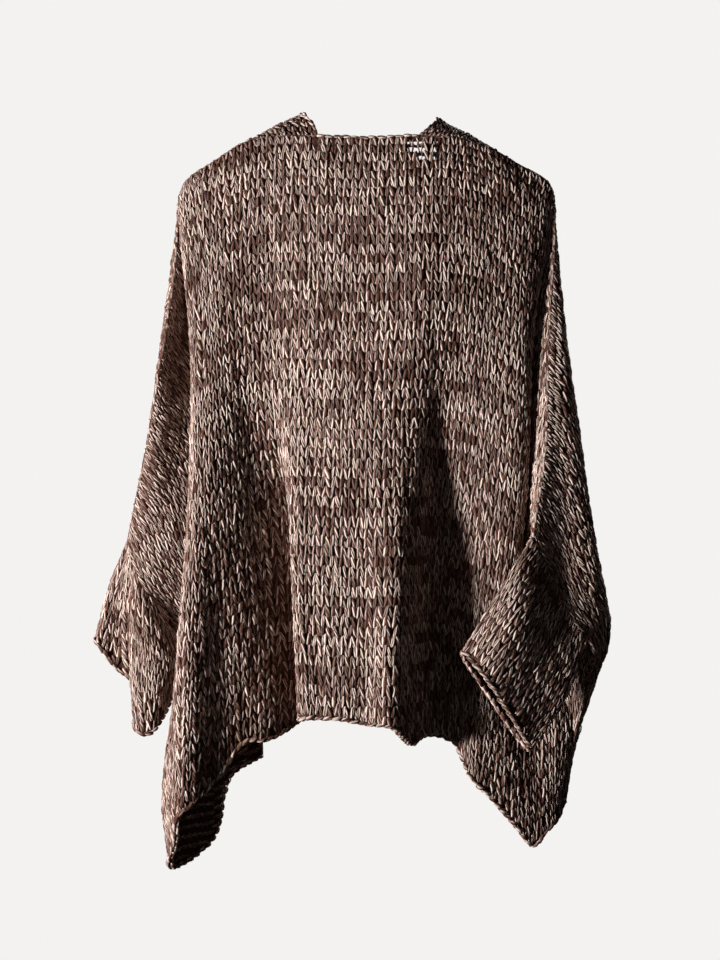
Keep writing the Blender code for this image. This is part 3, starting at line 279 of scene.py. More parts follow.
class Fabric:
    """A knitted piece in its own cloth coordinates: u counts columns of stitches, d is metres down a column.

    points[share, line] has two lines to a column of stitches. outward is 1 or -1.
    """

    def __init__(self, points, outward, wrap=False):
        self.points, self.wrap = points, wrap
        self.normal = normals(points, wrap) * outward
        step = across(points, wrap) * (1.0 if wrap else 2.0)
        down = unit(np.gradient(points, axis=0))
        square = step - np.sum(step * down, axis=-1, keepdims=True) * down
        width = np.linalg.norm(square, axis=-1) / STITCH
        run = np.concatenate([
            np.zeros((1, points.shape[1])),
            np.cumsum(np.linalg.norm(np.diff(points, axis=0), axis=-1), axis=0),
        ])
        if wrap:
            further = np.roll(run, -1, axis=1) - np.roll(run, 1, axis=1)
        else:
            further = 2 * np.gradient(run, axis=1)
        slide = np.sum(step * down, axis=-1) - further
        self.length = run[-1]
        self.run = run
        at = np.arange(int(self.length.max() / STEP) + 3) * STEP
        known = np.concatenate([points, self.normal, width[..., None], slide[..., None]], axis=-1)
        self.table = np.empty((len(at), points.shape[1], 8))
        for line in range(points.shape[1]):
            for channel in range(8):
                self.table[:, line, channel] = np.interp(at, run[:, line], known[:, line, channel])
        self.columns = points.shape[1] / 2 if wrap else (points.shape[1] - 1) / 2

    def lines_at(self, u):
        j = np.asarray(u, float) * 2
        count = self.points.shape[1]
        if self.wrap:
            first = np.floor(j).astype(int)
            return first % count, (first + 1) % count, j - first
        j = np.clip(j, 0, count - 1.001)
        first = np.floor(j).astype(int)
        return first, first + 1, j - first

    def length_at(self, u):
        a, b, f = self.lines_at(u)
        return self.length[a] * (1 - f) + self.length[b] * f

    def at(self, u, d):
        """Point, outward normal and width of a column (1 where it is not squeezed) at cloth places (u, d)."""
        value = self.look(u, d)
        return value[..., :3], unit(value[..., 3:6]), value[..., 6]

    def slide_at(self, u, d):
        """How far down the cloth the next column's row lies, in metres, where the cloth hangs askew."""
        return self.look(u, d)[..., 7]

    def look(self, u, d):
        a, b, f = self.lines_at(u)
        k = np.clip(np.asarray(d, float) / STEP, 0, len(self.table) - 1.001)
        low = np.floor(k).astype(int)
        g = (k - low)[..., None]
        f = f[..., None]
        upper = self.table[low, a] * (1 - f) + self.table[low, b] * f
        lower = self.table[low + 1, a] * (1 - f) + self.table[low + 1, b] * f
        return upper * (1 - g) + lower * g


def edge_together(back, back_line, front, fade_lines, shares):
    """Below the underarm the back's and the front's side edges lie on one line."""
    below = (np.asarray(shares) >= UNDERARM)[:, None]
    half = (front[:, -1] - back[:, back_line]) / 2 * below
    count = back.shape[1]
    away = np.arange(count) if back_line == 0 else count - 1 - np.arange(count)
    back += (np.clip(1 - away / fade_lines, 0, 1) ** 2)[None, :, None] * half[:, None]
    away = front.shape[1] - 1 - np.arange(front.shape[1])
    front -= (np.clip(1 - away / fade_lines, 0, 1) ** 2)[None, :, None] * half[:, None]


# --------------------------------------------------------------------------------------------- meshes

def finish_mesh(name, verts, tris, yarn_uv, bake_uv, floats, material, node):
    mesh = bpy.data.meshes.new(name)
    mesh.vertices.add(len(verts))
    mesh.vertices.foreach_set("co", np.ascontiguousarray(verts, np.float32).ravel())
    mesh.loops.add(tris.size)
    mesh.loops.foreach_set("vertex_index", np.ascontiguousarray(tris, np.int32).ravel())
    mesh.polygons.add(len(tris))
    mesh.polygons.foreach_set("loop_start", np.arange(0, tris.size, 3, dtype=np.int32))
    mesh.update(calc_edges=True)
    for layer, values in (("yarn", yarn_uv), ("OFBake", bake_uv)):
        if values is not None:
            mesh.uv_layers.new(name=layer).data.foreach_set("uv", np.ascontiguousarray(values, np.float32).ravel())
    for key, values in floats.items():
        mesh.attributes.new(key, "FLOAT", "POINT").data.foreach_set("value", np.ascontiguousarray(values, np.float32))
    mesh.shade_smooth()
    mesh.materials.append(material)
    piece = bpy.data.objects.new(name, mesh)
    bpy.context.scene.collection.objects.link(piece)
    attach(piece, "root")
    return piece


def spindles(centre, normal, wide, high, closed=False, sides=4):
    """Many tapering strands of yarn at once: centre[n, station, 3], its two end stations are the tips.

    wide and high are half the strand's width and thickness. An open one is only its upper side.
    """
    count, stations = centre.shape[:2]
    rings = stations - 2
    along = unit(np.gradient(centre, axis=1))
    side = unit(np.cross(along, normal))
    up = np.cross(side, along)
    turn = np.arange(sides) * 2 * math.pi / sides if closed else np.radians(np.linspace(-84, 84, sides))
    ring = (
        centre[:, 1:-1, None]
        + side[:, 1:-1, None] * (wide[:, 1:-1, None] * np.sin(turn))[..., None]
        + up[:, 1:-1, None] * (high[:, 1:-1, None] * np.cos(turn))[..., None]
    )
    verts = np.concatenate([centre[:, :1], ring.reshape(count, rings * sides, 3), centre[:, -1:]], axis=1)
    each = verts.shape[1]
    last = each - 1
    across_to = sides if closed else sides - 1
    corner, place = [], []
    level = np.linspace(0, 1, stations)

    def u(k):
        return k / (sides if closed else sides - 1)

    def at(i, k):
        return 1 + i * sides + k % sides

    for k in range(across_to):
        corner.append((0, at(0, k), at(0, k + 1)))
        place.append(((u(k + 0.5), 0), (u(k), level[1]), (u(k + 1), level[1])))
        for i in range(rings - 1):
            a, b, c, d = at(i, k), at(i + 1, k), at(i + 1, k + 1), at(i, k + 1)
            ua, ub = u(k), u(k + 1)
            corner += [(a, b, c), (a, c, d)]
            place += [
                ((ua, level[i + 1]), (ua, level[i + 2]), (ub, level[i + 2])),
                ((ua, level[i + 1]), (ub, level[i + 2]), (ub, level[i + 1])),
            ]
        corner.append((at(rings - 1, k), last, at(rings - 1, k + 1)))
        place.append(((u(k), level[-2]), (u(k + 0.5), 1), (u(k + 1), level[-2])))
    corner, place = np.array(corner), np.array(place, float)
    # The faces look away from the strand's core.
    probe = verts[0][corner[1]]
    away = probe.mean(axis=0) - centre[0].mean(axis=0)
    if np.dot(np.cross(probe[1] - probe[0], probe[2] - probe[0]), away) < 0:
        corner, place = corner[:, ::-1], place[:, ::-1]
    tris = (corner[None] + (np.arange(count) * each)[:, None, None]).reshape(-1, 3)
    yarn_uv = np.broadcast_to(place, (count, *place.shape)).reshape(-1, 2)
    grid = int(math.ceil(math.sqrt(count)))
    cell = np.stack([np.arange(count) % grid, np.arange(count) // grid], axis=1)
    bake_uv = ((cell[:, None, None] + 0.12 + 0.76 * place[None]) / grid).reshape(-1, 2)
    return verts.reshape(-1, 3), tris, yarn_uv, bake_uv, each


def knit(name, node, material, parts):
    """One piece from several lots of strands: parts are (centre, normal, wide, high, phase, tone, options)."""
    verts, tris, yarn, lots, phase, tone, total = [], [], [], [], [], [], 0
    count = sum(len(part[0]) for part in parts)
    grid = int(math.ceil(math.sqrt(count)))
    before = 0
    for centre, normal, wide, high, lot_phase, lot_tone, options in parts:
        v, t, y, _, each = spindles(centre, normal, wide, high, **options)
        n = len(centre)
        order = before + np.arange(n)
        cell = np.stack([order % grid, order // grid], axis=1)
        per = len(y) // n
        lots.append((np.repeat(cell, per, axis=0) + 0.12 + 0.76 * y) / grid)
        verts.append(v)
        tris.append(t + total)
        yarn.append(y)
        phase.append(np.repeat(lot_phase, each))
        tone.append(np.repeat(lot_tone, each))
        total += len(v)
        before += n
    return finish_mesh(
        name, np.concatenate(verts), np.concatenate(tris), np.concatenate(yarn), np.concatenate(lots),
        {"phase": np.concatenate(phase), "tone": np.concatenate(tone)}, material, node,
    )


def drift(rng, rows, columns, every):
    """Values from 0 to 1 that wander slowly along each row, on their own in every row."""
    knots = rng.uniform(size=(rows, int(columns / every) + 3))
    x = np.arange(columns) / every
    i = x.astype(int)
    f = x - i
    f = f * f * (3 - 2 * f)
    return knots[:, i] * (1 - f) + knots[:, i + 1] * f


LEG = np.array([0.0, 0.2, 0.5, 0.8, 1.0])  # stations along a leg of a stitch, from its foot up
LEG_FULL = np.array([0.0, 0.86, 1.0, 0.84, 0.0])
LEG_RISE = np.array([-0.2, 0.85, 1.0, 0.75, -0.4])


def stitch_lots(fabric, seed, loose=None):
    """The legs of the right side and the bumps of the purl side, as lots for knit().

    loose(u, d) says which stitches are stretched open, where one sees through the cloth.
    """
    rng = np.random.default_rng(seed)
    columns = int(round(fabric.columns))
    rows = int(fabric.length.max() / ROW) + 2
    row_phase = rng.uniform(size=rows)
    wander = drift(rng, rows, columns + 8, 4) * 0.9
    patch = drift(rng, rows, columns + 8, 3) * 0.65 + drift(rng, rows // 3 + 1, columns + 8, 9)[np.arange(rows) // 3] * 0.35
    c, r = (x.ravel() for x in np.meshgrid(np.arange(columns), np.arange(rows), indexing="ij"))
    width = fabric.at(c + 0.5, (r + 0.4) * ROW)[2]
    # Where the cloth is squeezed together, several columns share one stitch
    wanted = np.select([width > 0.56, width > 0.28, width > 0.14, width > 0.07], [1, 2, 4, 8], 16).reshape(columns, rows)
    group = np.ones((columns, rows), int)
    for size in (2, 4, 8, 16):
        for first in range(0, columns, size):
            together = (wanted[first:first + size] >= size).all(axis=0)
            group[first:first + size, together] = size
    group = group.ravel()
    middle = c + group / 2
    foot = (r + 0.95) * ROW
    keep = (c % group == 0) & (foot < fabric.length_at(middle) + 0.5 * ROW)
    c, r, group, middle, foot, width = (x[keep] for x in (c, r, group, middle, foot, width))
    size = np.clip(width * group, 0.5, 1.35)
    slide = fabric.slide_at(middle, foot - 0.5 * ROW)
    open_here = loose(middle, foot) if loose else np.zeros(len(c), bool)

    def legs(which, opened):
        out = []
        for side in (-1, 1):
            m, f, g, s0 = middle[which], foot[which], group[which], size[which]
            n = len(m)
            wobble = rng.normal(size=(7, n))
            s = LEG[None]
            sway = 0.055 * wobble[0][:, None] + 0.09 * wobble[1][:, None] * s
            lateral = side * (0.07 + 0.37 * s ** 0.9) + sway
            d = f[:, None] + ROW * (0.14 - 1.5 * s) + ROW * 0.08 * wobble[2][:, None]
            u = m[:, None] + g[:, None] * lateral
            d = d - g[:, None] * lateral * slide[which][:, None]
            end = fabric.length_at(u)
            d = np.clip(d, 0.05 * ROW, end - 0.0006)
            p, nrm, _ = fabric.at(u, d)
            rise = 0.0015 if not opened else 0.0004
            h = rise * LEG_RISE[None] * (1 + 0.22 * wobble[3][:, None])
            p = p + nrm * h[..., None]
            full = LEG_FULL[None] * (1 + 0.13 * wobble[4][:, None])
            wide = 0.00222 * s0[:, None] * full * (0.5 if opened else 1)
            high = 0.0018 * np.sqrt(s0)[:, None] * full * (0.75 if opened else 1)
            span = np.linalg.norm(p[:, -1] - p[:, 0], axis=-1) / ROW
            rr, cc = r[which], c[which]
            phase = row_phase[rr] + wander[rr, cc] + np.where(g > 1, 0.35, 0.15) * wobble[5] + (0.14 if side > 0 else 0)
            # Painted shade: the legs' tone is highest at the key lamp's height (z = -0.42 m) and falls off above and
            # below it, darkening the top and the hem; the patch and wobble terms are the yarn's own random tone
            height = (p[:, 2, 2] + 0.42) / 0.40
            tone = np.clip(0.60 - 0.14 * height ** 2 + 1.25 * (patch[rr, cc] - 0.5) + 0.27 * wobble[6], 0, 1)
            ok = (span > 0.5) & (span < 2.4)
            out.append((p[ok], nrm[ok], wide[ok], high[ok], phase[ok], tone[ok],
                        dict(closed=opened, sides=6 if opened else 4)))
        return out

    def bumps(which):
        out = []
        for lower in (False, True):
            m, f, g, s0 = middle[which], foot[which], group[which], size[which]
            n = len(m)
            wobble = rng.normal(size=(5, n))
            s = LEG[None] - 0.5
            arch = 1 - 4 * s * s
            centre_u = m[:, None] + (0.5 * g[:, None] if lower else 0) + 0.05 * wobble[0][:, None]
            u = centre_u + g[:, None] * 1.15 * s
            bend = 0.32 * arch * (1 if lower else -1)
            d = f[:, None] - ROW * (0.28 if lower else 0.62) + ROW * (bend + 0.04 * wobble[1][:, None])
            d = d - (u - m[:, None]) * slide[which][:, None]
            end = fabric.length_at(u)
            d = np.clip(d, 0.1 * ROW, end - 0.0008)
            p, nrm, _ = fabric.at(u, d)
            h = -0.0013 * (0.25 + 0.75 * arch)
            p = p + nrm * h[..., None]
            full = np.sqrt(np.clip(arch, 0, 1)) * (1 + 0.1 * wobble[2][:, None])
            wide = 0.0018 * np.sqrt(s0)[:, None] * full
            high = 0.0016 * full + 0 * wide
            rr, cc = r[which], c[which]
            phase = row_phase[rr] + wander[rr, cc] + 0.3 + 0.07 * wobble[3]
            tone = np.clip(0.42 + 0.8 * (patch[rr, cc] - 0.5) + 0.13 * wobble[4], 0, 1)
            ok = np.linalg.norm(p[:, -1] - p[:, 0], axis=-1) > 0.003
            out.append((p[ok], -nrm[ok], wide[ok], high[ok], phase[ok], tone[ok], dict(closed=False, sides=3)))
        return out

    return legs(~open_here, False), legs(open_here, True) if open_here.any() else [], bumps(np.ones(len(c), bool))


def chain_lots(path, normal, outward, seed, pitch=STITCH, thick=0.0021, reach=0.0012, tilt=0.28, closed_path=False, tone=0.62):
    """A cast-off chain along an edge: links on both faces of the cloth, each leaning over the edge.

    path and normal run along the edge, outward points away from the cloth.
    """
    rng = np.random.default_rng(seed)
    run = np.concatenate([[0], np.cumsum(np.linalg.norm(np.diff(path, axis=0), axis=1))])
    count = max(int(run[-1] / pitch), 2)
    pitch = run[-1] / count
    lots = []
    s = LEG[None] - 0.5
    for face in (1, -1):
        n = count if closed_path else count - 0
        wobble = rng.normal(size=(5, n))
        start = (np.arange(n) + 0.5 + (0.25 if face < 0 else 0)) * pitch
        t = start[:, None] + pitch * 1.35 * s + pitch * 0.05 * wobble[0][:, None]
        t = np.mod(t, run[-1]) if closed_path else np.clip(t, 0, run[-1])
        look = lambda values: np.stack([np.interp(t, run, values[:, k]) for k in range(3)], axis=-1)
        p, nrm, out = look(path), unit(look(normal)), unit(look(outward))
        arch = 1 - 4 * s * s
        p = p + out * (reach + pitch * tilt * s * 1.2 + 0.0003 * wobble[1][:, None])[..., None]
        p = p + nrm * (face * (0.0010 + 0.0007 * arch) + 0.0002 * wobble[2][:, None])[..., None]
        full = LEG_FULL[None] * (1 + 0.08 * wobble[3][:, None])
        lots.append((p, nrm * face, thick * full, thick * full, rng.uniform(size=n),
                     np.clip(tone + 0.2 * wobble[4], 0, 1), dict(closed=True, sides=6)))
    return lots


def rope_lots(path, normal, seed, thick=0.0022, pitch=0.011, offset=0.0):
    """Sewing yarn that fills a seam: overlapping strands along one line."""
    rng = np.random.default_rng(seed)
    run = np.concatenate([[0], np.cumsum(np.linalg.norm(np.diff(path, axis=0), axis=1))])
    n = max(int(run[-1] / pitch), 2)
    pitch = run[-1] / n
    s = LEG[None] - 0.5
    lots = []
    for half in (0, 1):
        start = (np.arange(n) + 0.5 * half + 0.25) * pitch
        t = np.clip(start[:, None] + pitch * 1.5 * s, 0, run[-1])
        look = lambda values: np.stack([np.interp(t, run, values[:, k]) for k in range(3)], axis=-1)
        p, nrm = look(path), unit(look(normal))
        p = p + nrm * offset
        full = np.sqrt(LEG_FULL)[None] * np.ones((n, 1))
        lots.append((p, nrm, thick * full, thick * full, rng.uniform(size=n), rng.uniform(0.1, 0.6, n),
                     dict(closed=True, sides=6)))
    return lots


def ground(name, node, fabric, rows, material, half=0.0010, holes=None):
    """The cloth behind the stitches: an even closed wall, open where holes(u, d) is true."""
    points, normal = fabric.points[rows][:, ::2], fabric.normal[rows][:, ::2]
    height, count = points.shape[:2]
    wrap = fabric.wrap
    verts = np.concatenate([(points + normal * half).reshape(-1, 3), (points - normal * half).reshape(-1, 3)])
    n = height * count
    cells = count if wrap else count - 1
    there = np.ones((height - 1, cells), bool)
    if holes:
        run = fabric.run[rows][:, ::2]
        d = (run[:-1, :cells] + run[1:, :cells]) / 2
        u = np.arange(cells)[None] + 0.5 + 0 * d
        there &= ~holes(u, d)

    def at(i, j):
        return i * count + j % count

    faces = []
    for i in range(height - 1):
        for j in range(cells):
            if not there[i, j]:
                continue
            a, b, c, d = at(i, j), at(i, j + 1), at(i + 1, j + 1), at(i + 1, j)
            faces += [(a, b, c), (a, c, d), (n + c, n + b, n + a), (n + d, n + c, n + a)]
            left = there[i, (j - 1) % cells] if (wrap or j > 0) else False
            right = there[i, (j + 1) % cells] if (wrap or j < cells - 1) else False
            if i == 0 or not there[i - 1, j]:
                faces += [(b, a, n + a), (b, n + a, n + b)]
            if i == height - 2 or not there[i + 1, j]:
                faces += [(d, c, n + c), (d, n + c, n + d)]
            if not left:
                faces += [(a, d, n + d), (a, n + d, n + a)]
            if not right:
                faces += [(c, b, n + b), (c, n + b, n + c)]
    tris = np.array(faces)
    used = np.unique(tris)
    renumber = np.full(len(verts), -1)
    renumber[used] = np.arange(len(used))
    tris = renumber[tris]
    verts = verts[used]
    corners = verts[tris]
    if np.einsum("ij,ij->i", corners[:, 0], np.cross(corners[:, 1], corners[:, 2])).sum() < 0:
        tris = tris[:, ::-1]
    return finish_mesh(name, verts, tris, None, None, {}, material, node)


# ------------------------------------------------------------------------------------------ materials

def srgb(r, g, b):
    return tuple(((c / 255 + 0.055) / 1.055) ** 2.4 if c > 10 else c / 255 / 12.92 for c in (r, g, b)) + (1.0,)


class Nodes:
    def __init__(self, name):
        self.material = bpy.data.materials.new(name)
        self.material.use_nodes = True
        self.tree = self.material.node_tree
        self.surface = self.tree.nodes["Principled BSDF"]

    def add(self, kind, **settings):
        node = self.tree.nodes.new(kind)
        for key, value in settings.items():
            setattr(node, key, value)
        return node

    def link(self, out, to):
        self.tree.links.new(out, to)

    def math(self, operation, *values, clamp=False):
        node = self.add("ShaderNodeMath", operation=operation, use_clamp=clamp)
        for socket, value in zip(node.inputs, values):
            if hasattr(value, "is_output"):
                self.link(value, socket)
            else:
                socket.default_value = value
        return node.outputs[0]

    def vector(self, x, y, z):
        node = self.add("ShaderNodeCombineXYZ")
        for socket, value in zip(node.inputs, (x, y, z)):
            if hasattr(value, "is_output"):
                self.link(value, socket)
            else:
                socket.default_value = value
        return node.outputs[0]

    def noise(self, vector, scale, detail=2.0, rough=0.5):
        node = self.add("ShaderNodeTexNoise")
        self.link(vector, node.inputs["Vector"])
        node.inputs["Scale"].default_value = scale
        node.inputs["Detail"].default_value = detail
        node.inputs["Roughness"].default_value = rough
        return node.outputs["Fac"]

    def mix(self, kind, factor, a, b):
        node = self.add("ShaderNodeMix", data_type="RGBA", blend_type=kind)
        for socket, value in ((node.inputs["Factor"], factor), (node.inputs[6], a), (node.inputs[7], b)):
            if hasattr(value, "is_output"):
                self.link(value, socket)
            else:
                socket.default_value = value
        return node.outputs[2]


def marled_yarn(name, dark, middle, light, gain=1.0, fill=0.0):
    """Plies of dark, middle and light wool twisted together; phase turns the strand, tone is how light it runs (its own
    random tone, and on the legs also painted shade), and the strand's sides and ends are darkened as painted shade.
    """
    m = Nodes(name)
    uv = m.add("ShaderNodeUVMap", uv_map="yarn").outputs[0]
    split = m.add("ShaderNodeSeparateXYZ")
    m.link(uv, split.inputs[0])
    u, v = split.outputs[0], split.outputs[1]
    phase = m.add("ShaderNodeAttribute", attribute_name="phase").outputs["Fac"]
    tone = m.add("ShaderNodeAttribute", attribute_name="tone").outputs["Fac"]
    seed = m.math("MULTIPLY", phase, 37.0)
    warp = m.noise(m.vector(m.math("MULTIPLY", u, 2.0), m.math("MULTIPLY", v, 3.0), seed), 1.0, 2.0)
    turn = m.math("ADD", m.math("MULTIPLY", u, 0.95), m.math("MULTIPLY", v, 0.40))
    turn = m.math("ADD", m.math("ADD", turn, phase), m.math("MULTIPLY", m.math("SUBTRACT", warp, 0.5), 0.30))
    turn = m.math("FRACT", turn)
    ramp = m.add("ShaderNodeValToRGB")
    m.link(turn, ramp.inputs[0])
    stops = (
        (0.0, light), (0.17, light), (0.24, middle), (0.36, middle), (0.42, dark), (0.56, dark),
        (0.62, light), (0.72, light), (0.78, dark), (0.90, middle), (0.95, middle), (1.0, light),
    )
    elements = ramp.color_ramp.elements
    while len(elements) < len(stops):
        elements.new(0.5)
    for element, (position, colour) in zip(elements, stops):
        element.position = position
        element.color = colour
    fibre = m.noise(
        m.vector(m.math("MULTIPLY", m.math("ADD", u, m.math("MULTIPLY", v, 0.4)), 5.0), m.math("MULTIPLY", v, 1.8), seed),
        1.0, 3.0, 0.65,
    )
    # A thread of another colour here and there in each ply
    thread = m.math("MULTIPLY", m.math("SUBTRACT", fibre, 0.5), 4.5, clamp=False)
    lighten = m.math("MULTIPLY", m.math("MAXIMUM", thread, 0.0), 0.42, clamp=True)
    darken = m.math("MULTIPLY", m.math("MAXIMUM", m.math("MULTIPLY", thread, -1.0), 0.0), 0.55, clamp=True)
    colour = m.mix("MIX", lighten, ramp.outputs[0], light)
    colour = m.mix("MIX", darken, colour, dark)
    # Some fibres are redder, some more the colour of straw
    cast = m.noise(m.vector(m.math("MULTIPLY", u, 2.2), m.math("MULTIPLY", v, 1.1), m.math("ADD", seed, 9.0)), 1.0, 2.0, 0.6)
    cast = m.math("ADD", m.math("MULTIPLY", m.math("SUBTRACT", cast, 0.5), 3.2), 0.5, clamp=True)
    tint = m.mix("MIX", cast, (1.06, 0.95, 1.02, 1.0), (0.98, 1.03, 0.93, 1.0))
    colour = m.mix("MULTIPLY", 1.0, colour, tint)
    # How light this length of yarn runs: its own random tone, and on the legs also painted shade that falls off above
    # and below the key lamp's height
    low = m.math("SUBTRACT", 1.1, m.math("MULTIPLY", tone, 1.5), clamp=True)
    colour = m.mix("MIX", m.math("MULTIPLY", low, 0.85), colour, dark)
    # Painted shade: the colour darkens on the strand's sides and at the ends where it dives under, where less light
    # reaches
    edge = m.math("ABSOLUTE", m.math("SUBTRACT", m.math("MULTIPLY", u, 2.0), 1.0))
    edge = m.math("POWER", edge, 5.0)
    tip = m.math("ABSOLUTE", m.math("SUBTRACT", m.math("MULTIPLY", v, 2.0), 1.0))
    tip = m.math("POWER", tip, 5.0)
    shade = m.math("MULTIPLY", m.math("MAXIMUM", edge, tip), 0.6, clamp=True)
    painted_shade_colour = tuple(c * 0.5 for c in dark[:3]) + (1.0,)
    colour = m.mix("MIX", shade, colour, painted_shade_colour)
    m.link(colour, m.surface.inputs["Base Color"])
    groove = m.math("ABSOLUTE", m.math("SINE", m.math("MULTIPLY", turn, 3 * math.pi)))
    height = m.math("ADD", m.math("MULTIPLY", groove, 0.6), m.math("MULTIPLY", fibre, 0.9))
    bump = m.add("ShaderNodeBump")
    bump.inputs["Strength"].default_value = 0.6
    bump.inputs["Distance"].default_value = 0.0006
    m.link(height, bump.inputs["Height"])
    m.link(bump.outputs[0], m.surface.inputs["Normal"])
    m.link(m.math("ADD", m.math("MULTIPLY", fibre, 0.2), 0.68), m.surface.inputs["Roughness"])
    m.surface.inputs["Specular IOR Level"].default_value = 0.12
    m.surface.inputs["Metallic"].default_value = 0.0
    return m.material


def wool_in_painted_shade(name, colour, lighter):
    """What lies between the stitches: the same yarn, coloured darker as painted shade for the gaps between the
    stitches.
    """
    m = Nodes(name)
    place = m.add("ShaderNodeTexCoord").outputs["Object"]
    strands = m.noise(place, 260.0, 4.0, 0.7)
    ramp = m.add("ShaderNodeValToRGB")
    m.link(strands, ramp.inputs[0])
    ramp.color_ramp.elements[0].position = 0.35
    ramp.color_ramp.elements[0].color = colour
    ramp.color_ramp.elements[1].position = 0.75
    ramp.color_ramp.elements[1].color = lighter
    m.link(ramp.outputs[0], m.surface.inputs["Base Color"])
    bump = m.add("ShaderNodeBump")
    bump.inputs["Strength"].default_value = 0.5
    bump.inputs["Distance"].default_value = 0.0008
    m.link(strands, bump.inputs["Height"])
    m.link(bump.outputs[0], m.surface.inputs["Normal"])
    m.link(m.math("ADD", m.math("MULTIPLY", strands, 0.15), 0.82), m.surface.inputs["Roughness"])
    m.surface.inputs["Specular IOR Level"].default_value = 0.1
    m.surface.inputs["Metallic"].default_value = 0.0
    return m.material


ESPRESSO, TAUPE, CREAM = srgb(65, 32, 20), srgb(118, 80, 64), srgb(224, 207, 196)
yarn = marled_yarn("marled_yarn", ESPRESSO, TAUPE, CREAM)
inside_yarn = marled_yarn("marled_yarn_purl_side", ESPRESSO, TAUPE, CREAM)
# Painted shade: near-black browns for the cloth seen in the gaps between the stitches, standing for the shade there
shade = wool_in_painted_shade("wool_between_stitches_painted_shade", srgb(38, 20, 15), srgb(88, 58, 48))

# --------------------------------------------------------------------------------------------- pieces

SHARES = np.linspace(0, 1, 481)
BACK_COLUMNS, FRONT_COLUMNS = 131, 60
SLEEVE_COLUMNS = {"sleeve_left": 40, "sleeve_right": 34}

back_cuts = np.linspace(-SIDE_EDGE, SIDE_EDGE, 2 * BACK_COLUMNS + 1)
front_cuts = np.linspace(NECK_HALF, SIDE_EDGE, 2 * FRONT_COLUMNS + 1)
back_points = back_panel(back_cuts, SHARES)
left_points = front_panel(FRONT_LEFT, SEAM_LEFT, front_cuts, SHARES)
right_points = front_panel(FRONT_RIGHT, SEAM_RIGHT, front_cuts, SHARES)
edge_together(back_points, 2 * BACK_COLUMNS, left_points, 9, SHARES)
edge_together(back_points, 0, right_points, 9, SHARES)
ALONG = np.linspace(0, 1, 161)


def tube(table, back_table, front_table, seam, columns):
    around = np.arange(2 * columns) / (2 * columns) * 2 * UNDERARM
    return sleeve_tube(table, back_table, front_table, seam, ALONG, around)


fabrics = {
    "back": Fabric(back_points, 1),
    "front_left": Fabric(left_points, -1),
    "front_right": Fabric(right_points, 1),
    "sleeve_left": Fabric(tube(SLEEVE_LEFT, BACK_LEFT, FRONT_LEFT, SEAM_LEFT, SLEEVE_COLUMNS["sleeve_left"]), -1, wrap=True),
    "sleeve_right": Fabric(tube(SLEEVE_RIGHT, BACK_RIGHT, FRONT_RIGHT, SEAM_RIGHT, SLEEVE_COLUMNS["sleeve_right"]), 1, wrap=True),
}


def back_cut(u):
    return (u / BACK_COLUMNS * 2 - 1) * SIDE_EDGE


# Stitches near the back neck that have been pulled open: column from the centre back, row
OPENED = ((5, 0), (6, 0), (6, 1), (8, 0), (8, 1), (-6, 0), (-4, 0))


def back_columns(u):
    """Columns counted from the centre back, growing to the right side."""
    return np.floor(BACK_COLUMNS / 2 - np.asarray(u) + 0.5).astype(int)


def opened(u, d):
    columns, rows = back_columns(u), np.floor(np.asarray(d) / ROW + 0.35).astype(int)
    found = np.zeros(np.broadcast(columns, rows).shape, bool)
    for column, row in OPENED:
        found |= (columns == column) & (rows == row + 1)
    return found


def back_loose(u, d):
    return opened(u, d) | opened(u, np.asarray(d) - ROW)


def back_holes(u, d):
    return opened(u, d) & (back_columns(u) > 0)


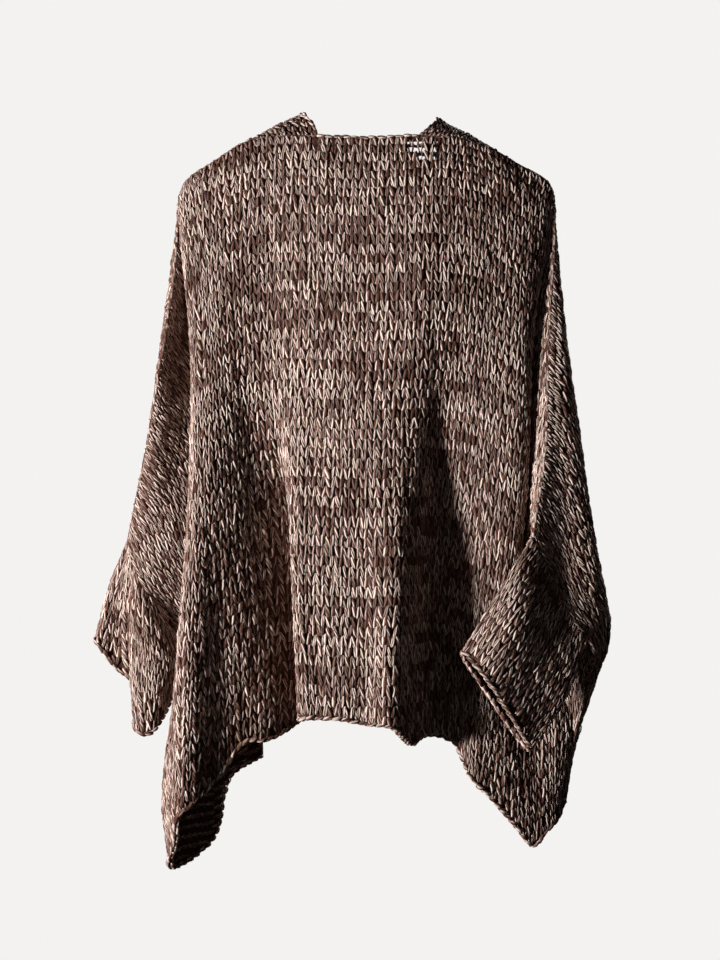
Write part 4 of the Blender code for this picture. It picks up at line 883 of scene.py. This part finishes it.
for number, (node, fabric) in enumerate(fabrics.items()):
    seed = 11 + 7 * number
    legs, loose_legs, bumps = stitch_lots(fabric, seed, back_loose if node == "back" else None)
    if node == "back":
        for label, side in (("right_half", -1), ("left_half", 1)):
            half = []
            for p, n, w, h, ph, to, options in legs:
                where = (p[:, 0, 0] >= 0.0) if side > 0 else (p[:, 0, 0] < 0.0)
                half.append((p[where], n[where], w[where], h[where], ph[where], to[where], options))
            knit("back_stitches_" + label, node, yarn, half)
        knit("back_open_stitches", node, yarn, loose_legs)
    else:
        knit(node + "_stitches", node, yarn, legs)
    knit(node + "_purl_side", node, inside_yarn, bumps)

    # Edges
    p, n = fabric.points, fabric.normal
    down = unit(p[-1] - p[-5])
    lots = []
    if fabric.wrap:
        loop = np.concatenate([p[-1], p[-1][:1]])
        loop_n = np.concatenate([n[-1], n[-1][:1]])
        loop_d = np.concatenate([down, down[:1]])
        lots += chain_lots(loop, loop_n, loop_d, seed + 1, thick=0.0022, reach=0.0010, closed_path=True)
        lots += rope_lots(loop, loop_n, seed + 2, thick=0.0018)
    else:
        lots += chain_lots(p[-1], n[-1], down, seed + 1, thick=0.0024, reach=-0.0006, tone=0.8)
        if node == "back":
            inside = np.abs(back_cuts) <= NECK_HALF + 0.3
            up = unit(p[0] - p[4])
            lots += chain_lots(p[0][inside], n[0][inside], up[inside], seed + 3, thick=0.0020, reach=0.0004, tilt=0.12)
            seam_lots = []
            for side in (-1, 1):
                along_seam = side * back_cuts >= NECK_HALF
                seam_lots += rope_lots(p[0][along_seam], n[0][along_seam], seed + 5 + side, thick=0.0022)
            for line in (0, -1):
                seam_lots += rope_lots(p[:, line], n[:, line], seed + 9 + line, thick=0.0022)
            knit("back_seams", node, yarn, seam_lots)
        else:
            away = unit(p[:, 0] - p[:, 2])
            top = int(0.07 * len(p))
            lots += chain_lots(p[:top, 0], n[:top, 0], away[:top], seed + 6, thick=0.0013, reach=-0.0006, tilt=0.12)
            lots += chain_lots(p[top:, 0], n[top:, 0], away[top:], seed + 4, thick=0.0022)
    knit(node + "_edges", node, yarn, lots)

    if fabric.wrap:
        rows = np.unique(np.round(np.linspace(0, len(ALONG) - 1, 17)).astype(int))
    else:
        rows = np.unique(np.concatenate([np.round(np.arange(0, 9) * 3.8), np.round(np.linspace(31, 480, 57))]).astype(int))
    cloth = ground(node + "_cloth", node, fabric, rows, shade, holes=back_holes if node == "back" else None)
    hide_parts(node)

# ------------------------------------------------------------------------------- camera, light, stage

camera_data = bpy.data.cameras.new("camera")
camera_data.lens = 85
camera_data.sensor_fit = "VERTICAL"
camera_data.sensor_height = 36
camera_data.clip_end = 100
camera = bpy.data.objects.new("camera", camera_data)
camera.location = (0.009, 2.49, -0.377)
camera.rotation_euler = (math.radians(90), 0, math.radians(180))
bpy.context.scene.collection.objects.link(camera)
bpy.context.scene.camera = camera

BACKDROP = srgb(243, 242, 240)


def glowing(name):
    material = bpy.data.materials.new(name)
    material.use_nodes = True
    tree = material.node_tree
    tree.nodes.clear()
    out = tree.nodes.new("ShaderNodeOutputMaterial")
    glow = tree.nodes.new("ShaderNodeEmission")
    glow.inputs["Color"].default_value = BACKDROP
    glow.inputs["Strength"].default_value = 1.0
    tree.links.new(glow.outputs[0], out.inputs[0])
    return material


paper = glowing("studio_paper")


def studio(name, verts, faces):
    mesh = bpy.data.meshes.new(name)
    mesh.from_pydata(verts, [], faces)
    mesh.materials.append(paper)
    thing = bpy.data.objects.new(name, mesh)
    bpy.context.scene.collection.objects.link(thing)
    for switch in ("visible_diffuse", "visible_glossy", "visible_transmission", "visible_volume_scatter", "visible_shadow"):
        setattr(thing, switch, False)
    return thing


def dome(radius=14.0, floor=-1.45, rings=12, sides=48):
    """A pale floor that runs up into a round backdrop and closes overhead."""
    verts, faces = [(0, 0, floor)], []
    for i in range(1, rings + 1):
        a = math.pi * i / rings
        reach = radius * math.sin(a) if i < rings else 0.0
        height = floor + radius * (1 - math.cos(a))
        for k in range(sides):
            t = 2 * math.pi * k / sides
            verts.append((reach * math.cos(t), reach * math.sin(t), height))
    for k in range(sides):
        faces.append((0, 1 + k, 1 + (k + 1) % sides))
    for i in range(rings - 1):
        for k in range(sides):
            a, b = 1 + i * sides + k, 1 + i * sides + (k + 1) % sides
            faces.append((a, b, b + sides, a + sides))
    return verts, faces


FLOOR = -1.45
verts, faces = dome(floor=FLOOR)
studio("studio_backdrop", verts, faces)
studio("studio_floor", [(-3, -3, FLOOR), (3, -3, FLOOR), (3, 3, FLOOR), (-3, 3, FLOOR)], [(0, 1, 2, 3)])

world = bpy.data.worlds.new("studio")
world.use_nodes = True
world.node_tree.nodes["Background"].inputs["Color"].default_value = (1.0, 0.92, 0.87, 1)
world.node_tree.nodes["Background"].inputs["Strength"].default_value = 0.022
bpy.context.scene.world = world
bpy.context.scene.view_settings.view_transform = "Standard"


def softbox(name, place, target, size, power):
    data = bpy.data.lights.new(name, "AREA")
    data.shape = "SQUARE"
    data.size = size
    data.energy = power
    lamp = bpy.data.objects.new(name, data)
    lamp.location = place
    direction = np.array(target, float) - np.array(place, float)
    lamp.rotation_euler = Vector(direction).to_track_quat("-Z", "Y").to_euler()
    bpy.context.scene.collection.objects.link(lamp)
    return lamp


MIDDLE = (0.0, 0.05, -0.36)
softbox("key", (2.5, 1.74, -0.42), MIDDLE, 0.4, 197)
softbox("fill", (-0.6, 3.0, 0.6), MIDDLE, 1.2, 2)
softbox("front", (-1.2, -2.7, 0.6), MIDDLE, 0.9, 110)
softbox("front_low", (0.9, -2.8, -0.2), MIDDLE, 1.4, 45)
